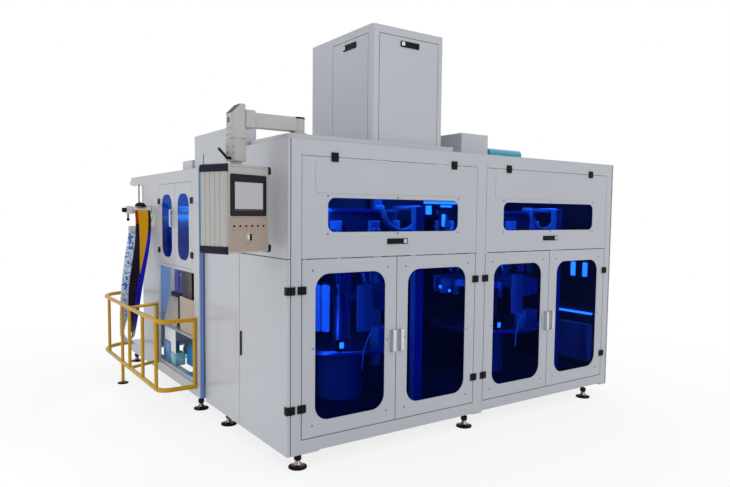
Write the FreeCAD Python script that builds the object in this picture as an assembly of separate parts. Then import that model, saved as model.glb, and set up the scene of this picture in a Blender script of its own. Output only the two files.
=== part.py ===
import FreeCAD, Part

import math
import os

V = FreeCAD.Vector
SIDEWAYS = V(1, 0, 0)
UP = V(0, 0, 1)

# All lengths are millimetres. X runs along the front from the left side, Y to the back, Z up.
# Main cabinet: two bays of two window doors, with a top-hung flap over each bay.
post_width = 100.0
post_depth = 60.0
door_width = 770.0
door_count = 4
cabinet_depth = 1470.0
foot_height = 100.0
base_height = 100.0
door_height = 1185.0
flap_height = 660.0
header_height = 105.0
beam_depth = 50.0
skirt_lift = (8.0, 16.0)
corner_plate = 140.0
foot_beam = 80.0
foot_beam_lift = 18.0
skin = 20.0
sheet = 3.0
skin_edge = 10.0
tray_lip = 14.0
skin_edge_radius = 14.0
bed_thickness = 12.0

# Clearances
seam = 3.0
door_gap = 6.0
seat_gap = 0.3

# Front doors
leaf_thickness = 25.0
window_margin = 98.0
window_rise = 103.0
window_drop = 95.0
window_radius = 105.0
pane_thickness = 4.0
pane_overlap = 22.0
handle_length = 160.0
handle_rise = 500.0
handle_reach = 34.0
handle_inset = 32.0
handle_width = 26.0
handle_thickness = 9.0
handle_bend = 14.0

# Flaps with a long window and a raised plate
flap_window_margin = 196.0
flap_window_rise = 171.0
flap_window_height = 226.0
flap_window_radius = 52.0
plate_margin = 100.0
plate_gap = 30.0
plate_height = 212.0
plate_rise = 2.0
plate_radius = 24.0
flap_hinge_inset = 245.0

# Slam latches
latch_length = 180.0
latch_height = 39.0
latch_thickness = 6.0
latch_rise = 103.0
latch_corner = 5.0
latch_button_radius = 11.0
latch_button_reach = 4.0
latch_button_offset = 66.0

# Butt hinges
hinge_block = 52.0
hinge_leaf = 27.0
hinge_thickness = 9.0
hinge_inset = 204.0
hinge_axis_out = 8.0
knuckle_radius = 6.0
pin_radius = 3.0
pin_clearance = 0.3
knuckle_gap = 0.6

# Left side of the cabinet
side_door_width = 756.0
side_latch_rise = 533.0
side_latch_length = 179.0
side_latch_width = 26.0
side_latch_inset = 26.0

# Levelling feet
foot_columns = (104.0, 1598.0, 3100.0)
foot_rows = (50.0, 1100.0)
rear_left_foot = 54.0
pad_radius = 62.0
pad_edge = 9.0
pad_crown = 14.0
pad_neck = 28.0
neck_waist = 14.0
neck_height = 24.0
ball_radius = 25.0
ball_height = 28.0
ball_taper = 8.0
stem_radius = 10.0
nut_radius = 16.0
nut_height = 6.0

# Roof: plinth, filler tower, junction box, side duct and silencer
plinth_rise = 35.0
plinth_front = 45.0
plinth_left = 30.0
plinth_right_margin = 56.0
plinth_back_margin = 73.0
plinth_notch_gap = 12.0
tower_left = 713.0
tower_width = 651.0
tower_front = 105.0
tower_depth = 862.0
tower_height = 815.0
tower_edge_radius = 28.0
tower_frame = 55.0
tower_side_frame = 330.0
tower_cover = 12.0
tower_cover_gap = 4.0
tower_latch_length = 168.0
tower_latch_height = 42.0
tower_latch_drop = 50.0
roof_box_left = 1600.0
roof_box_width = 286.0
roof_box_front = 145.0
roof_box_depth = 455.0
roof_box_height = 170.0
duct_width = 80.0
duct_front = 640.0
duct_height = 160.0
duct_reach = 196.0
vent_width = 80.0
vent_length = 250.0
vent_height = 80.0
vent_gap = 60.0
silencer_left = 1980.0
silencer_length = 385.0
silencer_radius = 40.0
silencer_lift = 4.0
silencer_y = 250.0
silencer_end_chamfer = 6.0
silencer_saddle = 26.0
silencer_saddle_inset = 70.0

# Operator panel on its swing arm
arm_base_x = 130.0
arm_base_y = 115.0
arm_reach = 425.0
arm_base_radius = 46.0
arm_base_flange = 62.0
arm_base_step = 8.0
arm_clearance = 20.0
arm_height = 88.0
arm_width = 74.0
arm_root_radius = 46.0
column_width = 92.0
column_radius = 8.0
elbow_rise = 45.0
elbow_drop = 75.0
column_chamfer = 58.0
column_length = 165.0
case_turn = 21.5
case_width = 390.0
case_depth = 220.0
case_height = 534.0
case_neck = 26.0
case_neck_radius = 34.0
case_rail = 24.0
case_rail_radius = 16.0
case_cap = 46.0
case_inset = 5.0
case_rib = 5.0
case_rib_depth = 1.5
case_rib_count = 4
screen_width = 300.0
screen_height = 249.0
screen_drop = 58.0
screen_rise = 6.0
screen_radius = 8.0
button_count = 6
button_radius = 7.0
button_reach = 8.0
button_pitch = 50.0
button_drop = 60.0
switch_radius = 20.0
switch_reach = 10.0
switch_drop = 68.0
switch_grip = 8.0
switch_grip_reach = 14.0
lever_drop = 122.0
lever_radius = 9.0
lever_length = 34.0
lever_bar = 12.0
lever_sweep = 95.0
lever_angle = 50.0

# Pouch carousels inside the two bays
carousel_y = 760.0
pedestal_radius = 190.0
pedestal_height = 420.0
carousel_disc_radius = 520.0
carousel_disc = 40.0
mast_radius = 95.0
mast_height = 720.0
drum_radius = 455.0
drum_height = 330.0
drum_band = 26.0
drum_band_rise = 14.0
arm_count = 10
gripper_arm_length = 300.0
gripper_arm_width = 46.0
gripper_arm_height = 60.0
gripper_finger_length = 90.0
gripper_finger_drop = 150.0
gripper_finger = 16.0
gripper_spread = 150.0

# Bag station behind the cabinet
station_reach = 40.0
station_gap = 24.0
station_width = 1300.0
near_column = 126.0
opening_length = 1010.0
far_column = 550.0
base_tail = 540.0
hood_length = 430.0
hood_height = 84.0
hood_radius = 50.0
station_height = 2040.0
station_beam_lift = 120.0
station_beam = 115.0
station_post = 60.0
station_skin = 20.0
sill_height = 91.0
opening_height = 928.0
door_pair_near_margin = 41.0
door_pair_far_margin = 45.0
door_pair_rise = 27.0
door_pair_drop = 102.0
door_pair_split = 451.0
station_window_width = 300.0
station_window_rise = 67.0
station_window_drop = 98.0
station_window_radius = 110.0
station_hinge_rise = 122.0
station_hinge_drop = 160.0
collar_inset = 45.0
collar_width = 60.0
station_foot_inset = 111.0
bow_rise = 350.0
bow_inset = 50.0

# Inside the bag station
table_rise = 365.0
table_thickness = 20.0
slot_count = 7
slot_width = 14.0
slot_length = 300.0
slot_pitch = 70.0
slot_start = 120.0
slot_inset = 90.0
magazine_setback = 20.0
bag_tray_start = 120.0
bag_tray_length = 380.0
bag_tray_depth = 60.0
bag_tray_height = 310.0
bag_stack_depth = 40.0
bag_stack_height = 250.0
bag_stack_margin = 50.0
bag_stack_radius = 12.0
bracket_gap = 10.0
bracket_width = 40.0
bracket_height = 330.0
bracket_arm = 240.0
pale_plate_gap = 60.0
pale_plate_length = 400.0
pale_plate_height = 250.0
pale_plate_tilt = 14.0
plate_thickness = 12.0
side_plate_setback = 150.0
side_plate_start = 860.0
side_plate_length = 330.0
side_plate_height = 540.0
guide_rod_radius = 8.0
guide_rod_length = 180.0
guide_rod_rise = 460.0
chute_width = 320.0
chute_drop = 230.0
chute_slope = 180.0
chute_sheet = 6.0
chute_start = 640.0
drive_length = 560.0
drive_width = 240.0
drive_height = 170.0
drive_radius = 30.0
drive_motor_radius = 70.0
drive_motor_length = 260.0
drive_start = 60.0
drive_setback = 60.0

# Printed film outside the far column
film_width = 148.0
film_thickness = 3.0
film_near = 170.0
film_top = 1690.0
film_bottom = 345.0
film_drift = 100.0
film_bulge = 40.0
film_loop = 110.0
film_steps = 14
back_roller_drop = 190.0
back_roller_shift = 150.0
roller_radius = 34.0
roller_overhang = 12.0
axle_radius = 8.0
axle_reach = 90.0
knob_radius = 22.0
knob_length = 38.0
roller_bracket = 8.0
roller_bracket_height = 90.0
roller_bracket_margin = 50.0
roller_block_width = 52.0
roller_block_height = 78.0
hanger_radius = 6.0
hanger_offset = 20.0
hanger_inset = 40.0
beacon_radius = 37.0
beacon_length = 100.0
beacon_base = 12.0
beacon_drop = 50.0
beacon_inset = 40.0

# Guard rail in front of the bag station
rail_tube = 19.0
baluster_tube = 15.0
rail_lift = 208.0
rail_height = 570.0
rail_near_inset = 81.0
rail_length = 2125.0
rail_reach = 310.0
rail_bends = (90.0, 285.0)
rail_partition = 940.0
rail_partition_wall = 1092.0
rail_leg = 1213.0
baluster_offsets = (95.0, 497.0, 1213.0, 1750.0)
rail_pad_radius = 50.0
rail_pad_edge = 8.0
rail_pad_height = 24.0

# Levels and places that follow from the sizes above
door_bottom = foot_height + base_height
door_top = door_bottom + door_height
flap_top = door_top + flap_height
cabinet_top = flap_top + header_height
plinth_top = cabinet_top + plinth_rise
module_width = 2 * door_width
cabinet_width = 2 * module_width + 3 * post_width
post_starts = [i * (module_width + post_width) for i in range(3)]
bays = [(start + post_width, start + post_width + module_width) for start in post_starts[:2]]
hinge_heights = (door_bottom + hinge_inset, door_top - hinge_inset)
side_pin_x = skin + door_gap / 2
bed_top = door_bottom - door_gap + bed_thickness
roof_under = cabinet_top - sheet
arm_bottom = plinth_top + arm_clearance
column_top = arm_bottom + arm_height + elbow_rise
column_seam = arm_bottom - elbow_drop
case_top = column_seam - column_length
case_bottom = case_top - case_height
station_left = -station_reach
station_inner = station_left + station_skin
station_right = station_left + station_width
station_right_inner = station_right - station_skin
station_near = cabinet_depth + station_gap
opening_near = station_near + near_column
opening_far = opening_near + opening_length
station_far = opening_far + far_column
station_base_far = station_far + base_tail
station_beam_top = station_beam_lift + station_beam
opening_top = station_beam_top + opening_height
door_pair_bottom = opening_top + door_pair_rise
station_under = station_height - sheet
door_pair_top = station_under - door_pair_drop
door_pair_height = door_pair_top - door_pair_bottom
door_pair_near = opening_near + door_pair_near_margin
door_pair_far = opening_far - door_pair_far_margin
door_pair_middle = door_pair_near + door_pair_split
table_top = station_beam_top + table_rise
rail_near = station_near + rail_near_inset
rail_far = rail_near + rail_length
rail_x = station_left - rail_reach
rail_top = rail_lift + rail_height

os.makedirs("parts", exist_ok=True)


def save(name, shapes):
    """Write one node, moved so that the origin lies under the front left foot."""
    shapes = shapes if isinstance(shapes, list) else [shapes]
    whole = shapes[0] if len(shapes) == 1 else Part.makeCompound(shapes)
    whole = whole.translated(V(-foot_columns[0], -foot_rows[0], 0))
    whole.exportStep("parts/" + name + ".step")
    print(f"{name:26s} solids {len(whole.Solids):3d} valid {whole.isValid()} volume {whole.Volume / 1e9:.5f} m3")


def block(x0, x1, y0, y1, z0, z1):
    """Box between opposite corners."""
    return Part.makeBox(x1 - x0, y1 - y0, z1 - z0, V(x0, y0, z0))


def cylinder(radius, length, start, axis):
    return Part.makeCylinder(radius, length, V(*start), V(*axis))


def upright_edges(shape):
    """The edges that run up and down."""
    return [e for e in shape.Edges if e.BoundBox.ZLength > max(e.BoundBox.XLength, e.BoundBox.YLength)]


def edges_at(shape, x, y):
    """Upright edges that stand at x, y."""
    return [e for e in upright_edges(shape) if abs(e.BoundBox.XMin - x) < 0.1 and abs(e.BoundBox.YMin - y) < 0.1]


def rounded_outline(width, height, radius):
    """Rectangle with arc corners, centred on the origin, in the XY plane."""
    a, b = width / 2, height / 2
    r = min(radius, a * 0.99, b * 0.99)
    s = r * (1 - math.sqrt(0.5))
    corners = [((a - r, -b), (a - s, -b + s), (a, -b + r)), ((a, b - r), (a - s, b - s), (a - r, b)),
               ((-a + r, b), (-a + s, b - s), (-a, b - r)), ((-a, -b + r), (-a + s, -b + s), (-a + r, -b))]
    edges = []
    for i, (start, middle, end) in enumerate(corners):
        after = corners[(i + 1) % 4][0]
        edges.append(Part.Arc(V(*start, 0), V(*middle, 0), V(*end, 0)).toShape())
        edges.append(Part.LineSegment(V(*end, 0), V(*after, 0)).toShape())
    return Part.Wire(edges)


def front_slab(width, height, radius, thickness, x, y, z):
    """Plate with arc corners that faces the front, centred at x, z, with its front face at y."""
    slab = Part.Face(rounded_outline(width, height, radius)).extrude(V(0, 0, -thickness))
    slab.rotate(V(0, 0, 0), SIDEWAYS, 90)
    return slab.translated(V(x, y, z))


def left_slab(width, height, radius, thickness, x, y, z):
    """Plate with arc corners that faces left, centred at y, z, with its outer face at x."""
    slab = front_slab(width, height, radius, thickness, 0, 0, 0)
    slab.rotate(V(0, 0, 0), UP, -90)
    return slab.translated(V(x, y, z))


def tray(width, height, depth, edge):
    """Folded sheet panel: outer face on the plane y = 0, open at the back inside a lip."""
    body = block(0, width, 0, depth, 0, height)
    body = body.cut(block(edge, width - edge, sheet, depth - sheet, edge, height - edge))
    lip = edge + tray_lip
    return body.cut(block(lip, width - lip, depth - sheet - 1, depth + 1, lip, height - lip))


def placed(shape, x, y, z, turn=0):
    """Copy of a shape, turned about the upright through its origin and then moved."""
    shape = shape.copy()
    shape.rotate(V(0, 0, 0), UP, turn)
    return shape.translated(V(x, y, z))


def tube_path(points, radius, bends):
    """Round bar along straight runs joined by arcs, with one bend radius for each inner corner."""
    points = [V(*p) for p in points]
    edges, last = [], points[0]
    for before, corner, after, bend in zip(points, points[1:], points[2:], bends):
        into, out = (corner - before).normalize(), (after - corner).normalize()
        turn = into.getAngle(out)
        cut = bend * math.tan(turn / 2)
        start, end = corner - into * cut, corner + out * cut
        inward = (out - into).normalize()
        middle = corner + inward * (bend / math.cos(turn / 2) - bend)
        edges.append(Part.LineSegment(last, start).toShape())
        edges.append(Part.Arc(start, middle, end).toShape())
        last = end
    edges.append(Part.LineSegment(last, points[-1]).toShape())
    path = Part.Wire(edges)
    ring = Part.Wire(Part.makeCircle(radius, points[0], (points[1] - points[0]).normalize()))
    return path.makePipeShell([ring], True, False)


def revolve(profile, x, y):
    """Solid of revolution about the upright at x, y from a list of (radius, z) corners."""
    points = [V(r, 0, z) for r, z in profile]
    face = Part.Face(Part.makePolygon(points + [points[0]]))
    return face.revolve(V(0, 0, 0), UP, 360).translated(V(x, y, 0))


def latch(x, y, z, length, height):
    """Flat slam latch that faces the front, with its push button at the right end."""
    body = front_slab(length, height, latch_corner, latch_thickness, x, y, z)
    button = cylinder(latch_button_radius, latch_button_reach, (x + latch_button_offset, y, z), (0, -1, 0))
    return body.fuse(button)


def bow_handle(x, y, z):
    """Flat bar bent into a bow with two feet, facing the front, centred at x, z on the face y."""
    half = handle_length / 2
    outer = Part.Face(rounded_outline(handle_length, 2 * handle_reach, handle_bend))
    inner = Part.Face(rounded_outline(handle_length - 2 * handle_thickness, 2 * (handle_reach - handle_thickness),
                                      handle_bend - handle_thickness / 2))
    bow = outer.cut(inner).extrude(V(0, 0, handle_width))
    bow = bow.common(block(-half, half, -handle_reach, 0, -1, handle_width + 1))
    bow.rotate(V(0, 0, 0), V(0, 1, 0), -90)
    return bow.Solids[0].translated(V(x + handle_width / 2, y, z))


def hinge(x, z, side):
    """Front hinge at a seam; side is +1 when the door lies towards +X. Returns frame half and door half."""
    half, third = hinge_block / 2, hinge_block / 3
    y_pin = -hinge_axis_out
    reach = knuckle_radius + knuckle_gap
    low, high = z - third / 2, z + third / 2

    def leaf(sign):
        near, far = sorted((x, x + sign * (hinge_leaf + door_gap / 2)))
        return block(near, far, -hinge_thickness, 0, z - half, z + half)

    def bar(radius, z0, z1):
        return cylinder(radius, z1 - z0, (x, y_pin, z0), (0, 0, 1))

    frame = leaf(-side).cut(bar(reach, low - knuckle_gap, high + knuckle_gap))
    frame = frame.fuse(bar(knuckle_radius, z - half, low - knuckle_gap))
    frame = frame.fuse(bar(knuckle_radius, high + knuckle_gap, z + half))
    frame = frame.fuse(bar(pin_radius, z - half, z + half)).removeSplitter()
    door = leaf(side).cut(bar(reach, z - half, low)).cut(bar(reach, high, z + half))
    door = door.fuse(bar(knuckle_radius, low, high)).removeSplitter()
    return frame, door.cut(bar(pin_radius + pin_clearance, z - half, z + half))


def post_ends(i):
    """Left and right X of post i; the outer posts stand inside the side panels."""
    left, right = post_starts[i], post_starts[i] + post_width
    if i == 0:
        left += skin + door_gap
    if i == 2:
        right -= skin + door_gap
    return left, right


def cabinet_posts():
    posts = []
    rear = cabinet_depth - skin
    for i in range(3):
        x0, x1 = post_ends(i)
        posts.append(block(x0, x1, 0, post_depth, foot_height, roof_under))
        posts.append(block(x0, x1, rear - post_depth, rear, foot_height, roof_under))
    return posts


def cabinet_base():
    """Bottom beams between the posts and the cross beams that stand on the feet."""
    beams = []
    top = door_bottom - door_gap
    rear = cabinet_depth - skin
    for (x0, x1), lift in zip(bays, skirt_lift):
        beams.append(block(x0, x1, 0, beam_depth, foot_height + lift, top))
        beams.append(block(x0, x1, rear - beam_depth, rear, foot_height + lift, top))
    plate = block(post_width, post_width + corner_plate, 0, beam_depth, foot_height, top)
    beams[0] = beams[0].fuse(plate).removeSplitter()
    low = foot_height + foot_beam_lift
    y0, y1 = beam_depth + seat_gap, rear - beam_depth - seat_gap
    for x in foot_columns[1:]:
        beams.append(block(x - foot_beam / 2, x + foot_beam / 2, y0, y1, low, top))
    for i in (0, 2):
        x0, x1 = post_ends(i)
        beams.append(block(x0, x1, post_depth, rear - post_depth, low, top))
    return beams


def cabinet_head():
    """Top beams; the front ones show above the flaps."""
    beams = []
    rear = cabinet_depth - skin
    low = flap_top + seam
    for x0, x1 in bays:
        beams.append(block(x0, x1, 0, beam_depth, low, roof_under))
        beams.append(block(x0, x1, rear - beam_depth, rear, low, roof_under))
    for i in range(3):
        x0, x1 = post_ends(i)
        beams.append(block(x0, x1, post_depth, rear - post_depth, low, roof_under))
    return beams


def foot(x, y, top):
    """Levelling foot: crowned pad, ball neck, stem and lock nut up to the frame."""
    crown = pad_edge + pad_crown
    ball = crown + neck_height + ball_taper
    profile = [(0, 0), (pad_radius, 0), (pad_radius, pad_edge), (pad_neck, crown), (neck_waist, crown + neck_height),
               (ball_radius, ball), (ball_radius, ball + ball_height), (stem_radius, ball + ball_height + ball_taper),
               (stem_radius, top - nut_height), (nut_radius, top - nut_height), (nut_radius, top), (0, top)]
    return revolve(profile, x, y)


def levelling_feet():
    """Six feet under the cabinet and four under the bag station."""
    low = foot_height + foot_beam_lift
    front_tops = (foot_height, foot_height + skirt_lift[0], foot_height + skirt_lift[1])
    feet = [foot(x, foot_rows[0], top) for x, top in zip(foot_columns, front_tops)]
    feet += [foot(x, foot_rows[1], low) for x in (rear_left_foot,) + foot_columns[1:]]
    rails = (station_inner + station_post / 2, station_right_inner - station_post / 2)
    for y in (station_near + station_foot_inset, station_base_far - station_post):
        feet += [foot(x, y, station_beam_lift) for x in rails]
    return feet


def front_door(number):
    """Window door; odd ones hang on their left edge, even ones on their right. Returns the frame's hinge halves."""
    x0 = bays[(number - 1) // 2][0] + ((number - 1) % 2) * door_width
    x1 = x0 + door_width
    hung_left = number % 2 == 1
    left = x0 + (door_gap if hung_left else door_gap / 2)
    right = x1 - (door_gap / 2 if hung_left else door_gap)
    width, height = right - left, door_height - door_gap
    middle, level = (left + right) / 2, door_bottom + (height + window_rise - window_drop) / 2
    hole = width - 2 * window_margin, height - window_rise - window_drop
    leaf = placed(tray(width, height, leaf_thickness, sheet), left, 0, door_bottom)
    leaf = leaf.cut(front_slab(*hole, window_radius, 2 * leaf_thickness, middle, -leaf_thickness, level))
    save(f"front_door_{number}", leaf)
    pane = front_slab(hole[0] + 2 * pane_overlap, hole[1] + 2 * pane_overlap, window_radius + pane_overlap,
                      pane_thickness, middle, sheet, level)
    save(f"front_door_{number}_window", pane)
    handle_x = right - handle_inset if hung_left else left + handle_inset
    handle = bow_handle(handle_x, 0, door_bottom + handle_rise + handle_length / 2)
    pin_x = x0 + door_gap / 2 if hung_left else x1 - door_gap / 2
    halves = [hinge(pin_x, z, 1 if hung_left else -1) for z in hinge_heights]
    save(f"front_door_{number}_fittings", [h[1] for h in halves] + [handle])
    return [h[0] for h in halves]


def flap(x0, x1):
    """Top-hung flap with a long window and a raised plate. Returns leaf, pane and latch."""
    left, right = x0 + seam, x1 - seam
    width, middle = right - left, (x0 + x1) / 2
    leaf = placed(tray(width, flap_height, leaf_thickness, sheet), left, 0, door_top)
    hole = x1 - x0 - 2 * flap_window_margin, flap_window_height
    level = door_top + flap_window_rise + flap_window_height / 2
    leaf = leaf.cut(front_slab(*hole, flap_window_radius, 2 * leaf_thickness, middle, -leaf_thickness, level))
    plate_bottom = door_top + flap_window_rise + flap_window_height + plate_gap
    plate = front_slab(x1 - x0 - 2 * plate_margin, plate_height, plate_radius, plate_rise, middle, -plate_rise,
                       plate_bottom + plate_height / 2)
    pane = front_slab(hole[0] + 2 * pane_overlap, hole[1] + 2 * pane_overlap, flap_window_radius + pane_overlap,
                      pane_thickness, middle, sheet, level)
    catch = latch(middle, -latch_thickness, door_top + latch_rise, latch_length, latch_height)
    return leaf.fuse(plate), pane, catch


def flap_hinge(x):
    """Closed hinge across the seam above a flap."""
    half = hinge_block / 2
    z = flap_top + seam / 2
    upper = block(x - half, x + half, -hinge_thickness, 0, z + seam / 2, z + hinge_leaf + seam)
    lower = block(x - half, x + half, -hinge_thickness, -plate_rise, z - hinge_leaf - seam, z - seam / 2)
    barrel = cylinder(knuckle_radius, hinge_block, (x - half, -hinge_axis_out, z), (1, 0, 0))
    return upper.fuse(lower).fuse(barrel).removeSplitter()


def left_side():
    """Hinged door at the front, fixed panel behind it and the upper panel. Returns the frame's hinge halves."""
    height = door_top - foot_height - door_gap / 2
    door = tray(side_door_width, height, skin, skin_edge)
    door = placed(door.makeFillet(skin_edge_radius, edges_at(door, side_door_width, 0)), 0, side_door_width,
                  foot_height, -90)
    save("side_door", door)
    y = side_door_width - side_latch_inset
    z = foot_height + side_latch_rise + side_latch_length / 2
    catch = left_slab(side_latch_width, side_latch_length, latch_corner, latch_thickness, -latch_thickness, y, z)
    rear_length = cabinet_depth - side_door_width - door_gap
    rear = placed(tray(rear_length, height, skin, skin_edge), 0, cabinet_depth, foot_height, -90)
    upper_bottom = door_top + door_gap / 2
    upper = tray(cabinet_depth, roof_under - upper_bottom, skin, skin_edge)
    upper = placed(upper.makeFillet(skin_edge_radius, edges_at(upper, cabinet_depth, 0)), 0, cabinet_depth,
                   upper_bottom, -90)
    save("left_panels", [rear, upper])
    frame_halves, door_halves = [], []
    for z in hinge_heights:
        frame, leaf = hinge(side_pin_x, z, -1)
        frame_halves.append(frame)
        wrap = block(-hinge_thickness, 0, -hinge_thickness, hinge_leaf, z - hinge_block / 2, z + hinge_block / 2)
        keep = block(-hinge_thickness, side_pin_x + hinge_block, -hinge_block, 0, z - hinge_block, z + hinge_block)
        door_halves.append(leaf.common(keep).fuse(wrap).removeSplitter())
    save("side_door_fittings", door_halves + [catch])
    return frame_halves


def right_side():
    """Two fixed panels on the right, one over the other."""
    panels = []
    split = door_top
    for z0, z1 in ((foot_height, split - seam / 2), (split + seam / 2, roof_under)):
        body = tray(cabinet_depth, z1 - z0, skin, skin_edge)
        body = body.makeFillet(skin_edge_radius, edges_at(body, 0, 0))
        panels.append(placed(body, cabinet_width, 0, z0, 90))
    save("right_panels", panels)


def rear_side():
    """Two fixed panels close the back, one to each bay."""
    panels = []
    middle = post_starts[1] + post_width / 2
    spans = ((skin + seat_gap, middle - seam / 2), (middle + seam / 2, cabinet_width - skin - seat_gap))
    for x0, x1 in spans:
        body = tray(x1 - x0, roof_under - foot_height, skin, skin_edge)
        panels.append(placed(body, x1, cabinet_depth, foot_height, 180))
    save("rear_panels", panels)


def roof_and_bed():
    save("roof", block(0, cabinet_width, 0, cabinet_depth, roof_under, cabinet_top))
    inside = skin + door_gap
    front = post_depth + seam
    bed = block(inside, cabinet_width - inside, front, cabinet_depth - skin - front, bed_top - bed_thickness, bed_top)
    save("machine_bed", bed)


def tower():
    """Filler housing on a plinth, with two lift-off covers. Returns the covers' latches."""
    x0, x1 = tower_left, tower_left + tower_width
    y0, y1 = tower_front, tower_front + tower_depth
    top = plinth_top + tower_height
    plinth_right, plinth_back = x1 + plinth_right_margin, y1 + plinth_back_margin
    plinth = block(plinth_left, plinth_right, plinth_front, plinth_back, cabinet_top, plinth_top)
    notch = block(0, duct_width + plinth_notch_gap, duct_front - plinth_notch_gap, cabinet_depth, cabinet_top,
                  plinth_top)
    save("roof_plinth", plinth.cut(notch))
    body = block(x0, x1, y0, y1, plinth_top, top)
    body = body.makeFillet(tower_edge_radius, upright_edges(body))
    front = x0 + tower_frame, x1 - tower_frame
    side = y0 + tower_frame, y1 - tower_side_frame
    high = top - tower_frame
    body = body.cut(block(front[0], front[1], y0, y0 + tower_cover, plinth_top, high))
    body = body.cut(block(x0, x0 + tower_cover, side[0], side[1], plinth_top, high))
    save("tower_housing", body)
    g = tower_cover_gap
    covers = [block(front[0] + g, front[1] - g, y0, y0 + tower_cover, plinth_top, high - g),
              block(x0, x0 + tower_cover, side[0] + g, side[1] - g, plinth_top, high - g)]
    save("tower_covers", covers)
    z = high - tower_latch_drop
    front_latch = latch((front[0] + front[1]) / 2, y0 - latch_thickness, z, tower_latch_length, tower_latch_height)
    side_latch = placed(latch(0, -latch_thickness, z, tower_latch_length, tower_latch_height), x0,
                        (side[0] + side[1]) / 2, 0, -90)
    return [front_latch, side_latch]


def roof_boxes():
    """Junction box, the duct that bridges to the bag station, a small vent box and the silencer."""
    box = block(roof_box_left, roof_box_left + roof_box_width, roof_box_front, roof_box_front + roof_box_depth,
                cabinet_top, cabinet_top + roof_box_height)
    duct_end = station_near + duct_reach
    top = cabinet_top + duct_height
    corners = [(duct_front, cabinet_top), (station_near, cabinet_top), (station_near, station_height),
               (duct_end, station_height), (duct_end, top), (duct_front, top)]
    points = [V(0, y, z) for y, z in corners]
    duct = Part.Face(Part.makePolygon(points + [points[0]])).extrude(V(duct_width, 0, 0))
    vent = block(0, vent_width, duct_end + vent_gap, duct_end + vent_gap + vent_length, station_height,
                 station_height + vent_height)
    save("roof_box", [box, duct, vent])
    z = cabinet_top + silencer_radius + silencer_lift
    body = cylinder(silencer_radius, silencer_length, (silencer_left, silencer_y, z), (1, 0, 0))
    body = body.makeChamfer(silencer_end_chamfer, [e for e in body.Edges if e.BoundBox.XLength < 1])
    last = silencer_left + silencer_length - silencer_saddle_inset - silencer_saddle
    for x in (silencer_left + silencer_saddle_inset, last):
        saddle = block(x, x + silencer_saddle, silencer_y - silencer_radius, silencer_y + silencer_radius,
                       cabinet_top, z)
        body = body.fuse(saddle)
    save("silencer", body.removeSplitter())


def swing_arm_body():
    """Box arm with a round root and a chamfered elbow that comes down to the column seam."""
    half = column_width / 2
    bar = block(-arm_reach + half, 0, -arm_width / 2, arm_width / 2, arm_bottom, arm_bottom + arm_height)
    root = cylinder(arm_root_radius, arm_height, (0, 0, arm_bottom), (0, 0, 1))
    elbow = block(-arm_reach - half, -arm_reach + half, -half, half, column_seam, column_top)
    outer = [e for e in elbow.Edges if e.BoundBox.ZMin > column_top - 1 and e.BoundBox.XMax < -arm_reach]
    elbow = elbow.makeChamfer(column_chamfer, outer)
    inner = [e for e in upright_edges(elbow)]
    elbow = elbow.makeFillet(column_radius, inner)
    return bar.fuse(root).fuse(elbow).removeSplitter()


def case_caps():
    """Four corner bars that run the full depth of the panel case. Returns them and their square outlines."""
    w, d = case_width / 2, case_depth / 2
    caps, notches = [], []
    for side in (-1, 1):
        for z0, edge_z in ((case_bottom, case_bottom), (case_top - case_cap, case_top)):
            x0, x1 = sorted((side * w, side * (w - case_rail)))
            cap = block(x0, x1, -d, d, z0, z0 + case_cap)
            outer = [e for e in cap.Edges if e.BoundBox.YLength > case_depth / 2
                     and abs(e.BoundBox.XMin - side * w) < 0.1 and abs(e.BoundBox.ZMin - edge_z) < 0.1]
            caps.append(cap.makeFillet(case_rail_radius, outer))
            notches.append(cap)
    return caps, notches


def case_shell(notches):
    """Extruded case with ribs down both sides, notched for its corner bars."""
    w, d = case_width / 2 - case_inset, case_depth / 2 - case_inset
    case = block(-w, w, -d, d, case_bottom + case_inset, case_top)
    pitch = 2 * d / (case_rib_count + 1)
    for side in (-1, 1):
        x0, x1 = sorted((side * w, side * (w - case_rib_depth)))
        for i in range(case_rib_count):
            y = -d + (i + 1) * pitch
            case = case.cut(block(x0, x1, y, y + case_rib, case_bottom + case_cap, case_top - case_cap))
    for notch in notches:
        case = case.cut(notch)
    return case


def panel_front():
    """Screen bezel, a row of buttons and a selector switch on the front of the case."""
    face = -case_depth / 2 + case_inset
    low = case_top - screen_drop - screen_height
    screen = front_slab(screen_width, screen_height, screen_radius, screen_rise, 0, face - screen_rise,
                        low + screen_height / 2)
    controls = []
    for i in range(button_count):
        x = (i - (button_count - 1) / 2) * button_pitch
        controls.append(cylinder(button_radius, button_reach, (x, face, low - button_drop), (0, -1, 0)))
    z = low - button_drop - switch_drop
    knob = cylinder(switch_radius, switch_reach, (0, face, z), (0, -1, 0))
    grip = block(-switch_grip / 2, switch_grip / 2, face - switch_reach - switch_grip_reach, face - switch_reach,
                 z - switch_radius, z + switch_radius)
    controls.append(knob.fuse(grip).removeSplitter())
    return screen, controls


def panel_pieces():
    """Column, case and fittings about the column axis, facing the front."""
    half = column_width / 2
    column = block(-half, half, -half, half, case_top + case_neck, column_seam - seat_gap)
    column = column.makeFillet(column_radius, upright_edges(column))
    column = column.fuse(cylinder(case_neck_radius, case_neck, (0, 0, case_top), (0, 0, 1))).removeSplitter()
    caps, notches = case_caps()
    screen, controls = panel_front()
    z = column_seam - lever_drop
    lever = cylinder(lever_radius, lever_length, (-half, 0, z), (-1, 0, 0))
    bar = block(-half - lever_length, -half - lever_length + lever_bar, -lever_bar / 2, lever_bar / 2, z,
                z + lever_sweep)
    bar.rotate(V(0, 0, z), SIDEWAYS, -lever_angle)
    return {"panel_column": [column], "panel_case": [case_shell(notches)], "panel_corner_caps": caps,
            "panel_screen": [screen], "panel_controls": controls,
            "clamp_lever": [lever.fuse(bar).removeSplitter()]}


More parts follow.
